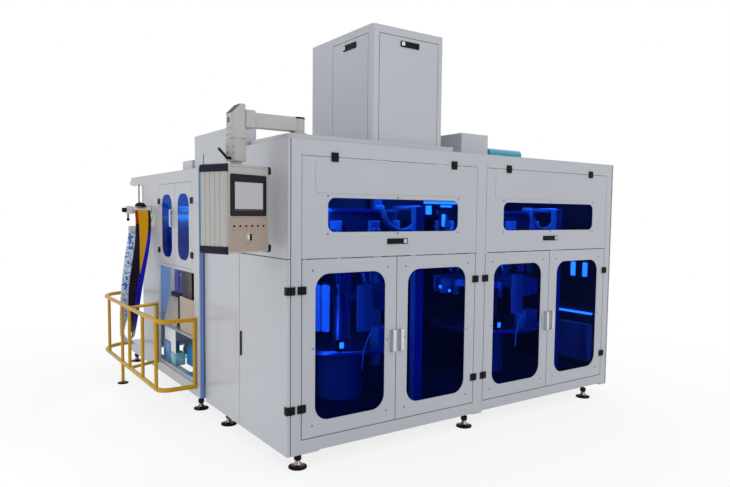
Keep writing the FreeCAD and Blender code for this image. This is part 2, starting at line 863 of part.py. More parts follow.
def operator_panel():
    """Swing arm on the roof corner, and the panel that hangs from it, turned to the user."""
    foot_z = plinth_top
    save("arm_base", revolve([(0, foot_z), (arm_base_flange, foot_z), (arm_base_flange, foot_z + arm_base_step),
                              (arm_base_radius, foot_z + arm_base_step), (arm_base_radius, arm_bottom - seat_gap),
                              (0, arm_bottom - seat_gap)], arm_base_x, arm_base_y))
    save("swing_arm", placed(swing_arm_body(), arm_base_x, arm_base_y, 0))
    for name, shapes in panel_pieces().items():
        save(name, [placed(s, arm_base_x - arm_reach, arm_base_y, 0, case_turn) for s in shapes])


def gripper(radius, z):
    """One arm of a carousel with two hanging fingers that hold a pouch by its top corners."""
    half = gripper_arm_width / 2
    arm = block(radius, radius + gripper_arm_length, -half, half, z, z + gripper_arm_height)
    end = radius + gripper_arm_length
    spread = gripper_spread / 2
    bar = block(end - gripper_arm_width, end, -spread, spread, z, z + gripper_arm_height)
    arm = arm.fuse(bar)
    for y in (-spread, spread - gripper_finger):
        finger = block(end, end + gripper_finger_length, y, y + gripper_finger, z - gripper_finger_drop / 2,
                       z + gripper_arm_height)
        arm = arm.fuse(finger)
    return arm.removeSplitter()


def carousel(x, turn):
    """Pouch carousel: pedestal, disc, mast, ring of grippers and the drum over them."""
    z = bed_top
    pedestal = cylinder(pedestal_radius, pedestal_height, (0, 0, z), (0, 0, 1))
    z += pedestal_height + seat_gap
    disc = cylinder(carousel_disc_radius, carousel_disc, (0, 0, z), (0, 0, 1))
    disc = disc.makeChamfer(carousel_disc / 4, [e for e in disc.Edges if e.BoundBox.XLength > carousel_disc_radius])
    z += carousel_disc + seat_gap
    mast = cylinder(mast_radius, mast_height, (0, 0, z), (0, 0, 1))
    grip_z = z + mast_height / 2
    drum_z = z + mast_height + seat_gap
    profile = [(0, drum_z), (drum_radius, drum_z), (drum_radius, drum_z + drum_height), (0, drum_z + drum_height)]
    drum = revolve(profile, 0, 0)
    for level in (drum_z, drum_z + drum_height - drum_band):
        drum = drum.fuse(cylinder(drum_radius + drum_band_rise, drum_band, (0, 0, level), (0, 0, 1)))
    solids = [pedestal, disc, mast, drum.removeSplitter()]
    for i in range(arm_count):
        arm = gripper(mast_radius + seat_gap, grip_z)
        solids.append(placed(arm, 0, 0, 0, turn + i * 360 / arm_count))
    return [placed(s, x, carousel_y, 0) for s in solids]


def station_frame():
    """Corner posts and the base beams on their feet."""
    xs = station_inner, station_right_inner - station_post
    posts = []
    for y in (station_near, station_far - station_post):
        posts += [block(x, x + station_post, y, y + station_post, station_beam_top, station_under) for x in xs]
    save("station_posts", posts)
    beams = [block(x, x + station_post, station_near, station_base_far, station_beam_lift, station_beam_top)
             for x in xs]
    for y in (station_near, station_base_far - station_post):
        beams.append(block(xs[0] + station_post + seat_gap, xs[1] - seat_gap, y, y + station_post,
                           station_beam_lift, station_beam_top))
    save("station_base", beams)


def station_face():
    """Left face: columns beside the work opening, the lintel with its doorway, and the sill."""
    x0, x1 = station_left, station_inner
    near = block(x0, x1, station_near, opening_near, station_beam_lift, station_under)
    far = block(x0, x1, opening_far, station_far, station_beam_lift, station_under)
    y0, y1 = opening_near + seat_gap, opening_far - seat_gap
    lintel = block(x0, x1, y0, y1, opening_top, station_under)
    lintel = lintel.cut(block(x0 - skin, x1 + skin, door_pair_near, door_pair_far, door_pair_bottom, door_pair_top))
    sill = block(x0, x1, y0, y1, station_beam_lift, station_beam_lift + sill_height)
    tail = block(x0, x1, station_far + seat_gap, station_base_far, station_beam_lift, station_beam_top)
    save("station_face", [near, far, lintel, sill, tail])


def station_doors():
    """Pair of upper doors with tall rounded windows, closed."""
    leaves, panes = [], []
    height = door_pair_height - 2 * seam
    window_height = door_pair_height - station_window_rise - station_window_drop
    z = door_pair_bottom + station_window_rise + window_height / 2
    for y0, y1 in ((door_pair_near, door_pair_middle), (door_pair_middle, door_pair_far)):
        width = y1 - y0 - 2 * seam
        leaf = placed(tray(width, height, station_skin, sheet), station_left, y1 - seam, door_pair_bottom + seam, -90)
        middle = (y0 + y1) / 2
        hole = left_slab(station_window_width, window_height, station_window_radius, 2 * station_skin,
                         station_left - skin, middle, z)
        leaves.append(leaf.cut(hole))
        panes.append(left_slab(station_window_width + 2 * pane_overlap, window_height + 2 * pane_overlap,
                               station_window_radius + pane_overlap, pane_thickness, station_left + sheet, middle, z))
    save("station_doors", leaves)
    save("station_windows", panes)


def station_hood():
    """Flat roof that runs on into an overhanging hood."""
    roof = block(station_left, station_right, station_near, station_far, station_under, station_height)
    under = station_height - hood_height
    hood = block(station_left, station_right, station_far, station_far + hood_length, under, station_height)
    gusset = block(station_left, station_inner, station_far, station_far + hood_radius, under - hood_radius, under)
    curve = cylinder(hood_radius, station_skin, (station_left, station_far + hood_radius, under - hood_radius),
                     (1, 0, 0))
    return roof.fuse(hood).fuse(gusset.cut(curve)).removeSplitter()


def station_walls():
    """Right wall and far wall."""
    right = placed(tray(station_far - station_near, station_under - station_beam_lift, station_skin, skin_edge),
                   station_right, station_near, station_beam_lift, 90)
    far = placed(tray(station_right_inner - station_inner, station_height - hood_height - station_beam_top,
                      station_skin, skin_edge), station_right_inner, station_far + station_skin,
                 station_beam_top, 180)
    return right, far


def station_collar():
    """Recessed strips that close the gap between the cabinet's rear wall and the station."""
    x0, x1 = station_left + collar_inset, station_right - collar_inset
    z0, z1 = station_beam_top, station_height - collar_inset
    y0, y1 = cabinet_depth, station_near
    w = collar_width
    bars = [block(x0, x0 + w, y0, y1, z0, z1), block(x1 - w, x1, y0, y1, z0, z1)]
    bars.append(block(x0 + w + seat_gap, x1 - w - seat_gap, y0, y1, z1 - w, z1))
    bars.append(block(x0 + w + seat_gap, x1 - w - seat_gap, y0, y1, z0, z0 + w))
    return bars


def station_hinges():
    """Closed black hinges on the outer edges of the two upper station doors."""
    half = hinge_block / 2
    pieces = []
    for y in (door_pair_near, door_pair_far):
        for z in (door_pair_bottom + station_hinge_rise, door_pair_top - station_hinge_drop):
            pieces.append(block(station_left - hinge_thickness, station_left, y - half, y + half, z - half, z + half))
    return pieces


def station_bow():
    """Bow handle on the far upper door, like those of the front doors."""
    z = door_pair_bottom + bow_rise + handle_length / 2
    return placed(bow_handle(0, 0, z), station_left, door_pair_middle + bow_inset, 0, -90)


def work_table():
    """Table across the station with a row of slots under the bag magazine."""
    table = block(station_inner, station_right_inner, station_near + station_post,
                  station_far - station_post, table_top - table_thickness, table_top)
    x = station_inner + slot_start
    for i in range(slot_count):
        y = opening_near + slot_inset + i * slot_pitch
        table = table.cut(block(x, x + slot_length, y, y + slot_width, table_top - table_thickness, table_top))
    return table


def bag_magazine():
    """Tray for the stack of flat pouches, its bracket, a tilted guide plate and a side plate with a rod."""
    x = station_inner + magazine_setback
    y = opening_near + bag_tray_start
    tray_block = block(x, x + bag_tray_depth, y, y + bag_tray_length, table_top, table_top + bag_tray_height)
    pocket = block(x + plate_thickness, x + bag_tray_depth - plate_thickness, y - 1, y + bag_tray_length + 1,
                   table_top + plate_thickness, table_top + bag_tray_height - plate_thickness)
    y += bag_tray_length + bracket_gap
    top = table_top + bracket_height
    post = block(x, x + bracket_width, y, y + bracket_width, table_top, top)
    bracket = post.fuse(block(x, x + bracket_width, y, y + bracket_arm, top - bracket_width, top)).removeSplitter()
    y += bracket_width + pale_plate_gap
    pale = block(0, plate_thickness, 0, pale_plate_length, -plate_thickness, pale_plate_height)
    pale.rotate(V(0, 0, 0), V(0, 1, 0), pale_plate_tilt)
    pale = pale.cut(block(-bag_tray_depth, bag_tray_depth, -1, pale_plate_length + 1, -bag_tray_depth, 0))
    y_side = opening_near + side_plate_start
    x_side = station_inner + side_plate_setback
    side = block(x_side, x_side + plate_thickness, y_side, y_side + side_plate_length, table_top,
                 table_top + side_plate_height)
    rod = cylinder(guide_rod_radius, guide_rod_length, (x_side, y_side + side_plate_length / 4,
                                                        table_top + guide_rod_rise), (0, -1, 0))
    boss = cylinder(2 * guide_rod_radius, plate_thickness, (x_side, y_side + side_plate_length / 4,
                                                            table_top + guide_rod_rise), (-1, 0, 0))
    rod = rod.translated(V(-plate_thickness / 2, 0, 0)).fuse(boss)
    return [tray_block.cut(pocket), bracket, pale.translated(V(x, y, table_top)), side.fuse(rod).removeSplitter()]


def bag_stack():
    """Stack of flat pouches that stands on the tray."""
    x = station_inner + magazine_setback
    y = opening_near + bag_tray_start + bag_stack_margin
    z = table_top + bag_tray_height
    length = bag_tray_length - 2 * bag_stack_margin
    stack = block(x, x + bag_stack_depth, y, y + length, z, z + bag_stack_height)
    return stack.makeFillet(bag_stack_radius, upright_edges(stack))


def bag_chute():
    """Bent sheet that lets pouches slide from the table's edge down to the drive box."""
    x = station_inner + magazine_setback
    y = opening_near + chute_start
    z = table_top - table_thickness
    t = chute_sheet
    corners = [(0, 0), (t, 0), (t, -chute_drop + t), (chute_slope, -chute_drop - chute_slope / 2 + t),
               (chute_slope, -chute_drop - chute_slope / 2), (0, -chute_drop)]
    points = [V(x + a, y, z + b) for a, b in corners]
    return Part.Face(Part.makePolygon(points + [points[0]])).extrude(V(0, chute_width, 0))


def drive_box():
    """Gear housing on the base beam with its motor lying along the table."""
    x = station_inner + station_post + drive_setback
    y = opening_near + drive_start
    z = station_beam_top
    plate = block(station_inner, x + drive_width, y, y + drive_width, z, z + bed_thickness)
    body = block(x, x + drive_width, y, y + drive_length, z + bed_thickness, z + bed_thickness + drive_height)
    body = body.makeFillet(drive_radius, [e for e in body.Edges if e.BoundBox.YLength > drive_length / 2
                                          and e.BoundBox.ZMin > z + drive_height / 2])
    motor = cylinder(drive_motor_radius, drive_motor_length, (x + drive_width / 2, y + drive_length,
                                                              z + bed_thickness + drive_height / 2), (0, 1, 0))
    return plate.fuse(body).fuse(motor).removeSplitter()


def film_rollers():
    """Bracket plate on the far column with a front and a back roller, and the rod that hangs from the hood."""
    wall = station_left
    end = wall - roller_bracket - film_width - 3 * roller_overhang
    y_front = opening_far + film_near + roller_radius
    y_back = y_front + back_roller_shift
    z_back = film_top - back_roller_drop
    half = roller_bracket_height / 2
    outline = [(y_front - roller_bracket_margin, film_top - half), (y_back + roller_bracket_margin, z_back - half),
               (y_back + roller_bracket_margin, z_back + half), (y_front + roller_bracket_margin, film_top + half),
               (y_front - roller_bracket_margin, film_top + half)]
    points = [V(wall - roller_bracket, y, z) for y, z in outline]
    body = Part.Face(Part.makePolygon(points + [points[0]])).extrude(V(roller_bracket, 0, 0))
    for y, z, reach in ((y_front, film_top, axle_reach), (y_back, z_back, 0)):
        body = body.fuse(cylinder(axle_radius, wall - end + reach, (wall, y, z), (-1, 0, 0)))
        body = body.fuse(cylinder(roller_radius, film_width + 2 * roller_overhang,
                                  (wall - roller_bracket - roller_overhang / 2, y, z), (-1, 0, 0)))
    low = film_top - roller_block_height / 2
    body = body.fuse(block(end - roller_block_width, end, y_front - roller_radius, y_front + roller_radius, low,
                           low + roller_block_height))
    knob_end = end - axle_reach + knob_length
    body = body.fuse(cylinder(knob_radius, knob_length, (knob_end, y_front, film_top), (-1, 0, 0)))
    x_rod, y_rod = wall - hanger_offset, station_far + hanger_inset
    z_rod = film_top + half - hanger_radius
    rod = tube_path([(x_rod, y_rod, station_height - hood_height), (x_rod, y_rod, z_rod),
                     (x_rod, y_front + roller_bracket_margin, z_rod)], hanger_radius, [4 * hanger_radius])
    foot = block(x_rod - hanger_radius, wall, y_front, y_front + roller_bracket_margin, z_rod - hanger_radius,
                 z_rod + hanger_radius)
    return body.fuse(rod).fuse(foot).removeSplitter()


def film_web():
    """Printed film that hangs from the front roller in one long loop and goes back up to the second roller."""
    y_front = opening_far + film_near
    y_back = y_front + roller_radius + back_roller_shift + roller_radius
    z_back = film_top - back_roller_drop
    x_top = station_left - roller_bracket - 1.5 * roller_overhang - film_width / 2
    gap = seat_gap + film_thickness / 2
    run = film_top - film_bottom - film_loop
    path = []
    for i in range(film_steps + 1):
        t = i / film_steps
        drift = film_drift * math.sin(math.pi * 0.75 * t)
        path.append((x_top - drift, y_front - gap + (y_back - y_front) / 4 * t * t, film_top - run * t))
    x, y_low, z_low = path[-1]
    for i in range(1, film_steps // 2):
        a = math.pi * i / (film_steps // 2)
        path.append((x, y_low + film_loop / 2 * (1 - math.cos(a)), z_low - film_loop * math.sin(a)))
    rise = z_back - z_low
    for i in range(film_steps + 1):
        t = i / film_steps
        y = y_low + film_loop + (y_back + gap - y_low - film_loop) * t + film_bulge * math.sin(math.pi * t)
        path.append((x + (x_top - x) * t - film_bulge * math.sin(math.pi * t), y, z_low + rise * t))
    sections = []
    for before, point, after in zip([path[0]] + path, path, path[1:] + [path[-1]]):
        along = V(0, after[1] - before[1], after[2] - before[2]).normalize()
        across = V(0, -along.z, along.y) * (film_thickness / 2)
        centre, side = V(*point), V(film_width / 2, 0, 0)
        corners = [centre - side - across, centre + side - across, centre + side + across, centre - side + across]
        sections.append(Part.makePolygon(corners + [corners[0]]))
    return Part.makeLoft(sections, True, True)


def beacon():
    """Amber lamp on the end of the hood."""
    y = station_far + hood_length
    x = station_left + beacon_inset
    z = station_height - beacon_drop
    base = cylinder(beacon_radius, beacon_base, (x, y, z), (0, 1, 0))
    lens = cylinder(beacon_radius - sheet, beacon_length, (x, y, z), (0, 1, 0))
    lens = lens.makeChamfer(beacon_base, [e for e in lens.Edges if e.BoundBox.YMin > y + beacon_length - 1])
    return base.fuse(lens).removeSplitter()


def guard_rail():
    """Tube rail: two bent hoops, uprights between them, a partition and one leg. Returns the leg's pad."""
    wall = station_left
    y_partition = rail_near + rail_partition
    y_wall = rail_near + rail_partition_wall
    y_leg = rail_near + rail_leg
    hoops = []
    for z in (rail_top, rail_lift):
        hoop = tube_path([(wall, rail_near, z), (rail_x, rail_near, z), (rail_x, rail_far, z), (wall, rail_far, z)],
                         rail_tube, rail_bends)
        across = V(rail_reach, y_wall - y_partition, 0)
        partition = cylinder(baluster_tube, across.Length + rail_tube, (rail_x, y_partition, z), across)
        partition = partition.common(block(rail_x, wall, rail_near, rail_far, z - rail_tube, z + rail_tube))
        hoops.append(hoop.fuse(partition).removeSplitter())
    save("guard_rail_top", hoops[0])
    save("guard_rail_bottom", hoops[1])
    places = [(rail_x, rail_near + offset) for offset in baluster_offsets]
    places += [(wall - baluster_tube - seat_gap, y) for y in (rail_near, y_wall, rail_far)]
    places.append((rail_x, y_partition))
    uprights = []
    for x, y in places:
        bar = cylinder(baluster_tube, rail_height, (x, y, rail_lift), (0, 0, 1)).cut(hoops[0]).cut(hoops[1])
        uprights.append(max(bar.Solids, key=lambda s: s.Volume))
    leg = cylinder(baluster_tube, rail_lift - rail_pad_height, (rail_x, y_leg, rail_pad_height), (0, 0, 1))
    uprights.append(max(leg.cut(hoops[1]).Solids, key=lambda s: s.Volume))
    save("guard_rail_uprights", uprights)
    return revolve([(0, 0), (rail_pad_radius, 0), (rail_pad_radius, rail_pad_edge), (baluster_tube, rail_pad_height),
                    (0, rail_pad_height)], rail_x, y_leg)


def build_cabinet():
    save("cabinet_posts", cabinet_posts())
    save("cabinet_base", cabinet_base())
    save("cabinet_head", cabinet_head())
    roof_and_bed()
    rear_side()
    right_side()
    carousels = []
    for i, (x0, x1) in enumerate(bays):
        carousels += carousel((x0 + x1) / 2, i * 180 / arm_count)
    save("carousels", carousels)


def build_fronts():
    """Doors, flaps and the left side, then the hinges and latches of the whole machine."""
    hinges = []
    for number in range(1, door_count + 1):
        hinges += front_door(number)
    hinges += left_side()
    parts = [flap(x0, x1) for x0, x1 in bays]
    save("flaps", [p[0] for p in parts])
    save("flap_windows", [p[1] for p in parts])
    for x0, x1 in bays:
        hinges += [flap_hinge(x0 + flap_hinge_inset), flap_hinge(x1 - flap_hinge_inset)]
    save("hinges", hinges + station_hinges())
    save("latches", [p[2] for p in parts] + tower() + [station_bow()])


def build_station():
    station_frame()
    station_face()
    station_doors()
    save("station_roof", station_hood())
    save("station_side_panels", list(station_walls()))
    save("station_collar", station_collar())
    save("work_table", work_table())
    save("bag_magazine", bag_magazine())
    save("bag_stack", bag_stack())
    save("bag_chute", bag_chute())
    save("drive_box", drive_box())
    save("film_rollers", film_rollers())
    save("film_web", film_web())
    save("beacon", beacon())


build_cabinet()
build_fronts()
roof_boxes()
operator_panel()
build_station()
save("levelling_feet", levelling_feet() + [guard_rail()])
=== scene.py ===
# %% [markdown]
# # A zipper pouch packing machine
#
# The machine is a long cabinet of painted sheet steel with blue tinted windows, a filler tower
# on its roof, an operator panel on a swing arm and a bag station behind a yellow guard rail.
# The solid model gives every piece its size and place. These cells give it its looks: paint,
# tinted plastic, steel and printed film, and the small fasteners that make it read as real.

import math
import random

import bmesh
import bpy
from mathutils import Matrix, Vector


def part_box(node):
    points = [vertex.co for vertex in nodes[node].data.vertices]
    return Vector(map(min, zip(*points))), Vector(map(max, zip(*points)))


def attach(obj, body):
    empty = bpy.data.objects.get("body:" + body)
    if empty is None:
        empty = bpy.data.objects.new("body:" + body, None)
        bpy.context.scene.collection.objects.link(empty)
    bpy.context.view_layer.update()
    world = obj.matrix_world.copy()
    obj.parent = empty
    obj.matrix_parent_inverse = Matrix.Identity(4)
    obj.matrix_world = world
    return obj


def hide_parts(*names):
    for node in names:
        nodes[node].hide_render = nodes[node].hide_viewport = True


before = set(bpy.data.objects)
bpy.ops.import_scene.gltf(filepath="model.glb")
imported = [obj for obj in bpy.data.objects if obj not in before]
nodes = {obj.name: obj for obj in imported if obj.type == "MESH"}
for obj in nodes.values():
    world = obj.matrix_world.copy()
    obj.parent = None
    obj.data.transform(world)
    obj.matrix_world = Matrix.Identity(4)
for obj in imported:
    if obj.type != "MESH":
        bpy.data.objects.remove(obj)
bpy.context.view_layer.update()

# %% [markdown]
# ## Finding a place on the machine
#
# Drawings of such a cabinet count their millimetres from its left front corner at floor level.
# One small function turns those numbers into metres in the model's own frame, so every later
# piece can be placed by its drawing size.

# %% Drawing millimetres to model metres
MM = 0.001
roof_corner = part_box("roof")[0]


def at(x, y, z):
    """Point given in millimetres from the cabinet's left front corner on the floor."""
    return Vector((roof_corner.x + x * MM, roof_corner.y + y * MM, z * MM))


print("cabinet corner", [round(v, 3) for v in at(0, 0, 0)])

# %% [markdown]
# ## Camera
#
# The picture of the machine was taken at eye height, well to the left of the front, with a
# medium wide lens. The angles come from a fit of the cabinet's long edges. The camera has a
# slight roll, and the lens is shifted a little, as after a crop.

# %% Camera at eye height
EYE = (-1.9464, -3.6029, 1.6825)
YAW, PITCH, ROLL = (math.radians(a) for a in (34.50, -3.926, 0.605))
SENSOR = 36.0
FOCAL_PIXELS, PICTURE_WIDTH = 630.55, 730
SHIFT_RIGHT, SHIFT_UP = -0.00104, 0.01788

forward = Vector((math.sin(YAW) * math.cos(PITCH), math.cos(YAW) * math.cos(PITCH), math.sin(PITCH)))
level_right = Vector((math.cos(YAW), -math.sin(YAW), 0))
level_up = level_right.cross(forward)
right = math.cos(ROLL) * level_right + math.sin(ROLL) * level_up
up = math.cos(ROLL) * level_up - math.sin(ROLL) * level_right

camera_data = bpy.data.cameras.new("camera")
camera_data.sensor_width = SENSOR
camera_data.lens = SENSOR * (FOCAL_PIXELS / PICTURE_WIDTH)
camera_data.shift_x, camera_data.shift_y = SHIFT_RIGHT, SHIFT_UP
camera = bpy.data.objects.new("camera", camera_data)
bpy.context.scene.collection.objects.link(camera)
axes = Matrix((right, up, -forward)).transposed()
camera.matrix_world = Matrix.Translation(EYE) @ axes.to_4x4()
bpy.context.scene.camera = camera
bpy.context.scene.view_settings.view_transform = "Standard"
print("lens", round(camera_data.lens, 1), "mm, eye height", EYE[2], "m")

# %% [markdown]
# ## Studio
#
# Painted sheet shows its colour best in broad, even light. A large soft lamp in front, one
# above, weaker ones from the left and low down, and a pale room all round do that. The camera
# sees the room as plain white, and so do mirrors and glass, while the light that the room gives
# stays mild. The Light Path node tells these kinds of ray apart.

# %% Room and lamps
ROOM_LIGHT = 0.86
ROOM_TINT, WHITE = (0.95, 0.97, 1.0, 1), (1, 1, 1, 1)
LAMP_TINT = (1.0, 0.99, 0.97)
MACHINE_MIDDLE = (1.4, 1.5, 1.2)
LAMPS = (("front_lamp", (2.5, -6.5, 4.6), MACHINE_MIDDLE, (5.0, 3.0), 95),
         ("left_lamp", (-6.0, 0.5, 4.0), MACHINE_MIDDLE, (5.0, 4.0), 28),
         ("top_lamp", (1.5, 1.5, 7.0), MACHINE_MIDDLE, (5.0, 5.0), 90),
         ("low_lamp", (-2.6, 0.6, 0.5), (0.1, 2.1, 0.35), (1.2, 0.5), 11))


def link(tree, source, target):
    tree.links.new(source, target)


def math_node(tree, operation, a, b=None, clamp=False):
    node = tree.nodes.new("ShaderNodeMath")
    node.operation = operation
    node.use_clamp = clamp
    for i, value in enumerate((a, b)):
        if value is None:
            continue
        if isinstance(value, (int, float)):
            node.inputs[i].default_value = value
        else:
            link(tree, value, node.inputs[i])
    return node.outputs[0]


def seen_ray(tree):
    """1 on rays that come straight from the camera, through glass or off a mirror."""
    path = tree.nodes.new("ShaderNodeLightPath")
    seen = math_node(tree, "MAXIMUM", path.outputs["Is Camera Ray"], path.outputs["Is Transmission Ray"])
    return math_node(tree, "MAXIMUM", seen, path.outputs["Is Glossy Ray"])


def build_room():
    world = bpy.data.worlds.new("room")
    bpy.context.scene.world = world
    world.use_nodes = True
    tree = world.node_tree
    tree.nodes.clear()
    out = tree.nodes.new("ShaderNodeOutputWorld")
    mix = tree.nodes.new("ShaderNodeMixShader")
    link(tree, seen_ray(tree), mix.inputs["Fac"])
    for i, (colour, strength) in enumerate(((ROOM_TINT, ROOM_LIGHT), (WHITE, 1.0)), 1):
        light = tree.nodes.new("ShaderNodeBackground")
        light.inputs["Color"].default_value = colour
        light.inputs["Strength"].default_value = strength
        link(tree, light.outputs[0], mix.inputs[i])
    link(tree, mix.outputs[0], out.inputs["Surface"])


def area_lamp(name, place, target, size, power, tint=LAMP_TINT):
    lamp = bpy.data.lights.new(name, "AREA")
    lamp.shape = "RECTANGLE"
    lamp.size, lamp.size_y = size
    lamp.energy = power
    lamp.color = tint
    holder = bpy.data.objects.new(name, lamp)
    bpy.context.scene.collection.objects.link(holder)
    holder.location = place
    holder.rotation_euler = (Vector(target) - Vector(place)).to_track_quat("-Z", "Y").to_euler()
    return holder


build_room()
for name, place, target, size, power in LAMPS:
    area_lamp(name, place, target, size, power)
print("lamps:", [lamp[0] for lamp in LAMPS])

# %% [markdown]
# ## Shared effects
#
# Paint, plastic and steel all differ a little from place to place, and every edge of folded
# sheet is a bit rounded and rubbed. These effects are node groups, built once. They put out
# masks, values and normals, and each material decides what to do with them.

# %% Node groups for mottling, rubbed edges, dust and brushed grain


def new_group(name, inputs, outputs):
    """Node group with float inputs {name: default} and outputs {name: socket type}."""
    tree = bpy.data.node_groups.new(name, "ShaderNodeTree")
    for label, value in inputs.items():
        socket = tree.interface.new_socket(label, in_out="INPUT", socket_type="NodeSocketFloat")
        socket.default_value = value
    for label, kind in outputs.items():
        tree.interface.new_socket(label, in_out="OUTPUT", socket_type=kind)
    return tree, tree.nodes.new("NodeGroupInput"), tree.nodes.new("NodeGroupOutput")


def object_place(tree):
    """Place on the piece, in metres of the machine's own frame."""
    return tree.nodes.new("ShaderNodeTexCoord").outputs["Object"]


def noise(tree, vector, scale, detail=3.0):
    node = tree.nodes.new("ShaderNodeTexNoise")
    node.inputs["Detail"].default_value = detail
    if isinstance(scale, (int, float)):
        node.inputs["Scale"].default_value = scale
    else:
        link(tree, scale, node.inputs["Scale"])
    link(tree, vector, node.inputs["Vector"])
    return node.outputs["Fac"]


def build_mottle():
    """Slow cloudiness and fine orange peel, as on sprayed sheet."""
    tree, given, out = new_group("sprayed_mottle", {"Cloud Scale": 1.2, "Peel Scale": 240.0},
                                 {"Cloud": "NodeSocketFloat", "Peel": "NodeSocketFloat"})
    place = object_place(tree)
    link(tree, noise(tree, place, given.outputs["Cloud Scale"], 4.0), out.inputs["Cloud"])
    link(tree, noise(tree, place, given.outputs["Peel Scale"], 1.0), out.inputs["Peel"])
    return tree


def build_rubbed_edge():
    """Normal rounded over the edges, and a mask that is 1 where the sheet turns."""
    tree, given, out = new_group("rubbed_edge", {"Width": 0.004},
                                 {"Edge": "NodeSocketFloat", "Normal": "NodeSocketVector"})
    bevel = tree.nodes.new("ShaderNodeBevel")
    bevel.samples = 4
    link(tree, given.outputs["Width"], bevel.inputs["Radius"])
    flat = tree.nodes.new("ShaderNodeNewGeometry")
    dot = tree.nodes.new("ShaderNodeVectorMath")
    dot.operation = "DOT_PRODUCT"
    link(tree, bevel.outputs["Normal"], dot.inputs[0])
    link(tree, flat.outputs["Normal"], dot.inputs[1])
    turned = math_node(tree, "SUBTRACT", 1.0, dot.outputs["Value"])
    link(tree, math_node(tree, "MULTIPLY", turned, 6.0, clamp=True), out.inputs["Edge"])
    link(tree, bevel.outputs["Normal"], out.inputs["Normal"])
    return tree


def build_dust():
    """Mask of dust that settles on what faces up, in patches."""
    tree, given, out = new_group("settled_dust", {"Amount": 0.5, "Scale": 6.0},
                                 {"Dust": "NodeSocketFloat"})
    flat = tree.nodes.new("ShaderNodeNewGeometry")
    parts = tree.nodes.new("ShaderNodeSeparateXYZ")
    link(tree, flat.outputs["Normal"], parts.inputs[0])
    upward = math_node(tree, "MAXIMUM", parts.outputs["Z"], 0.0)
    place = object_place(tree)
    patches = noise(tree, place, given.outputs["Scale"], 5.0)
    mask = math_node(tree, "MULTIPLY", upward, patches)
    link(tree, math_node(tree, "MULTIPLY", mask, given.outputs["Amount"], clamp=True), out.inputs["Dust"])
    return tree


def build_brushed():
    """Fine parallel grain, stretched along the piece."""
    tree, given, out = new_group("brushed_grain", {"Length": 4.0, "Lines": 420.0},
                                 {"Grain": "NodeSocketFloat"})
    place = object_place(tree)
    stretch = tree.nodes.new("ShaderNodeCombineXYZ")
    for axis, label in (("X", "Length"), ("Y", "Lines"), ("Z", "Lines")):
        link(tree, given.outputs[label], stretch.inputs[axis])
    scaled = tree.nodes.new("ShaderNodeVectorMath")
    scaled.operation = "MULTIPLY"
    link(tree, place, scaled.inputs[0])
    link(tree, stretch.outputs[0], scaled.inputs[1])
    link(tree, noise(tree, scaled.outputs[0], 1.0, 2.0), out.inputs["Grain"])
    return tree


MOTTLE, EDGE, DUST, BRUSHED = build_mottle(), build_rubbed_edge(), build_dust(), build_brushed()
print("groups:", [g.name for g in (MOTTLE, EDGE, DUST, BRUSHED)])

# %% [markdown]
# ## Paints and plastics
#
# The cabinet is powder coated in a pale cool grey with a satin sheen. The coat is a little
# cloudy, lighter on its rounded edges and dusty on top. Other coats, such as the rail's yellow
# gloss and the panel's warm grey, are the same recipe with other numbers, so one function
# makes them all.

# %% One recipe for every coat


def srgb(red, green, blue):
    """Colour as read off a screen, 0 to 255, turned into the light values that the shader uses."""
    def line(value):
        value /= 255
        return value / 12.92 if value <= 0.04045 else ((value + 0.055) / 1.055) ** 2.4
    return (line(red), line(green), line(blue), 1.0)


def place_group(tree, group, **values):
    node = tree.nodes.new("ShaderNodeGroup")
    node.node_tree = group
    for label, value in values.items():
        node.inputs[label.replace("_", " ")].default_value = value
    return node


def mix_colour(tree, factor, first, second):
    """Colour between two, each a socket or a plain colour."""
    node = tree.nodes.new("ShaderNodeMix")
    node.data_type = "RGBA"
    link(tree, factor, node.inputs["Factor"])
    for slot_name, value in (("A", first), ("B", second)):
        socket = [s for s in node.inputs if s.name == slot_name and s.type == "RGBA"][0]
        if isinstance(value, tuple):
            socket.default_value = value
        else:
            link(tree, value, socket)
    return [s for s in node.outputs if s.type == "RGBA"][0]


def shade(colour, share):
    return tuple(min(1.0, c * share) for c in colour[:3]) + (1.0,)


def new_material(name):
    material = bpy.data.materials.new(name)
    material.use_nodes = True
    tree = material.node_tree
    surface = tree.nodes["Principled BSDF"]
    return material, tree, surface


def bumpy(tree, surface, height, strength, distance, rounded=None):
    """Fine relief on a surface, on top of a rounded normal where one is given."""
    bump = tree.nodes.new("ShaderNodeBump")
    bump.inputs["Strength"].default_value = strength
    bump.inputs["Distance"].default_value = distance
    link(tree, height, bump.inputs["Height"])
    if rounded:
        link(tree, rounded, bump.inputs["Normal"])
    link(tree, bump.outputs["Normal"], surface.inputs["Normal"])


def uneven_gloss(tree, surface, mask, spread, roughness):
    """Roughness that wanders about its mean as a mask does."""
    wander = math_node(tree, "MULTIPLY", mask, spread)
    link(tree, math_node(tree, "ADD", wander, roughness - spread / 2), surface.inputs["Roughness"])


DUST_COLOUR = srgb(196, 194, 188)
RUBBED_SHARE = 1.35


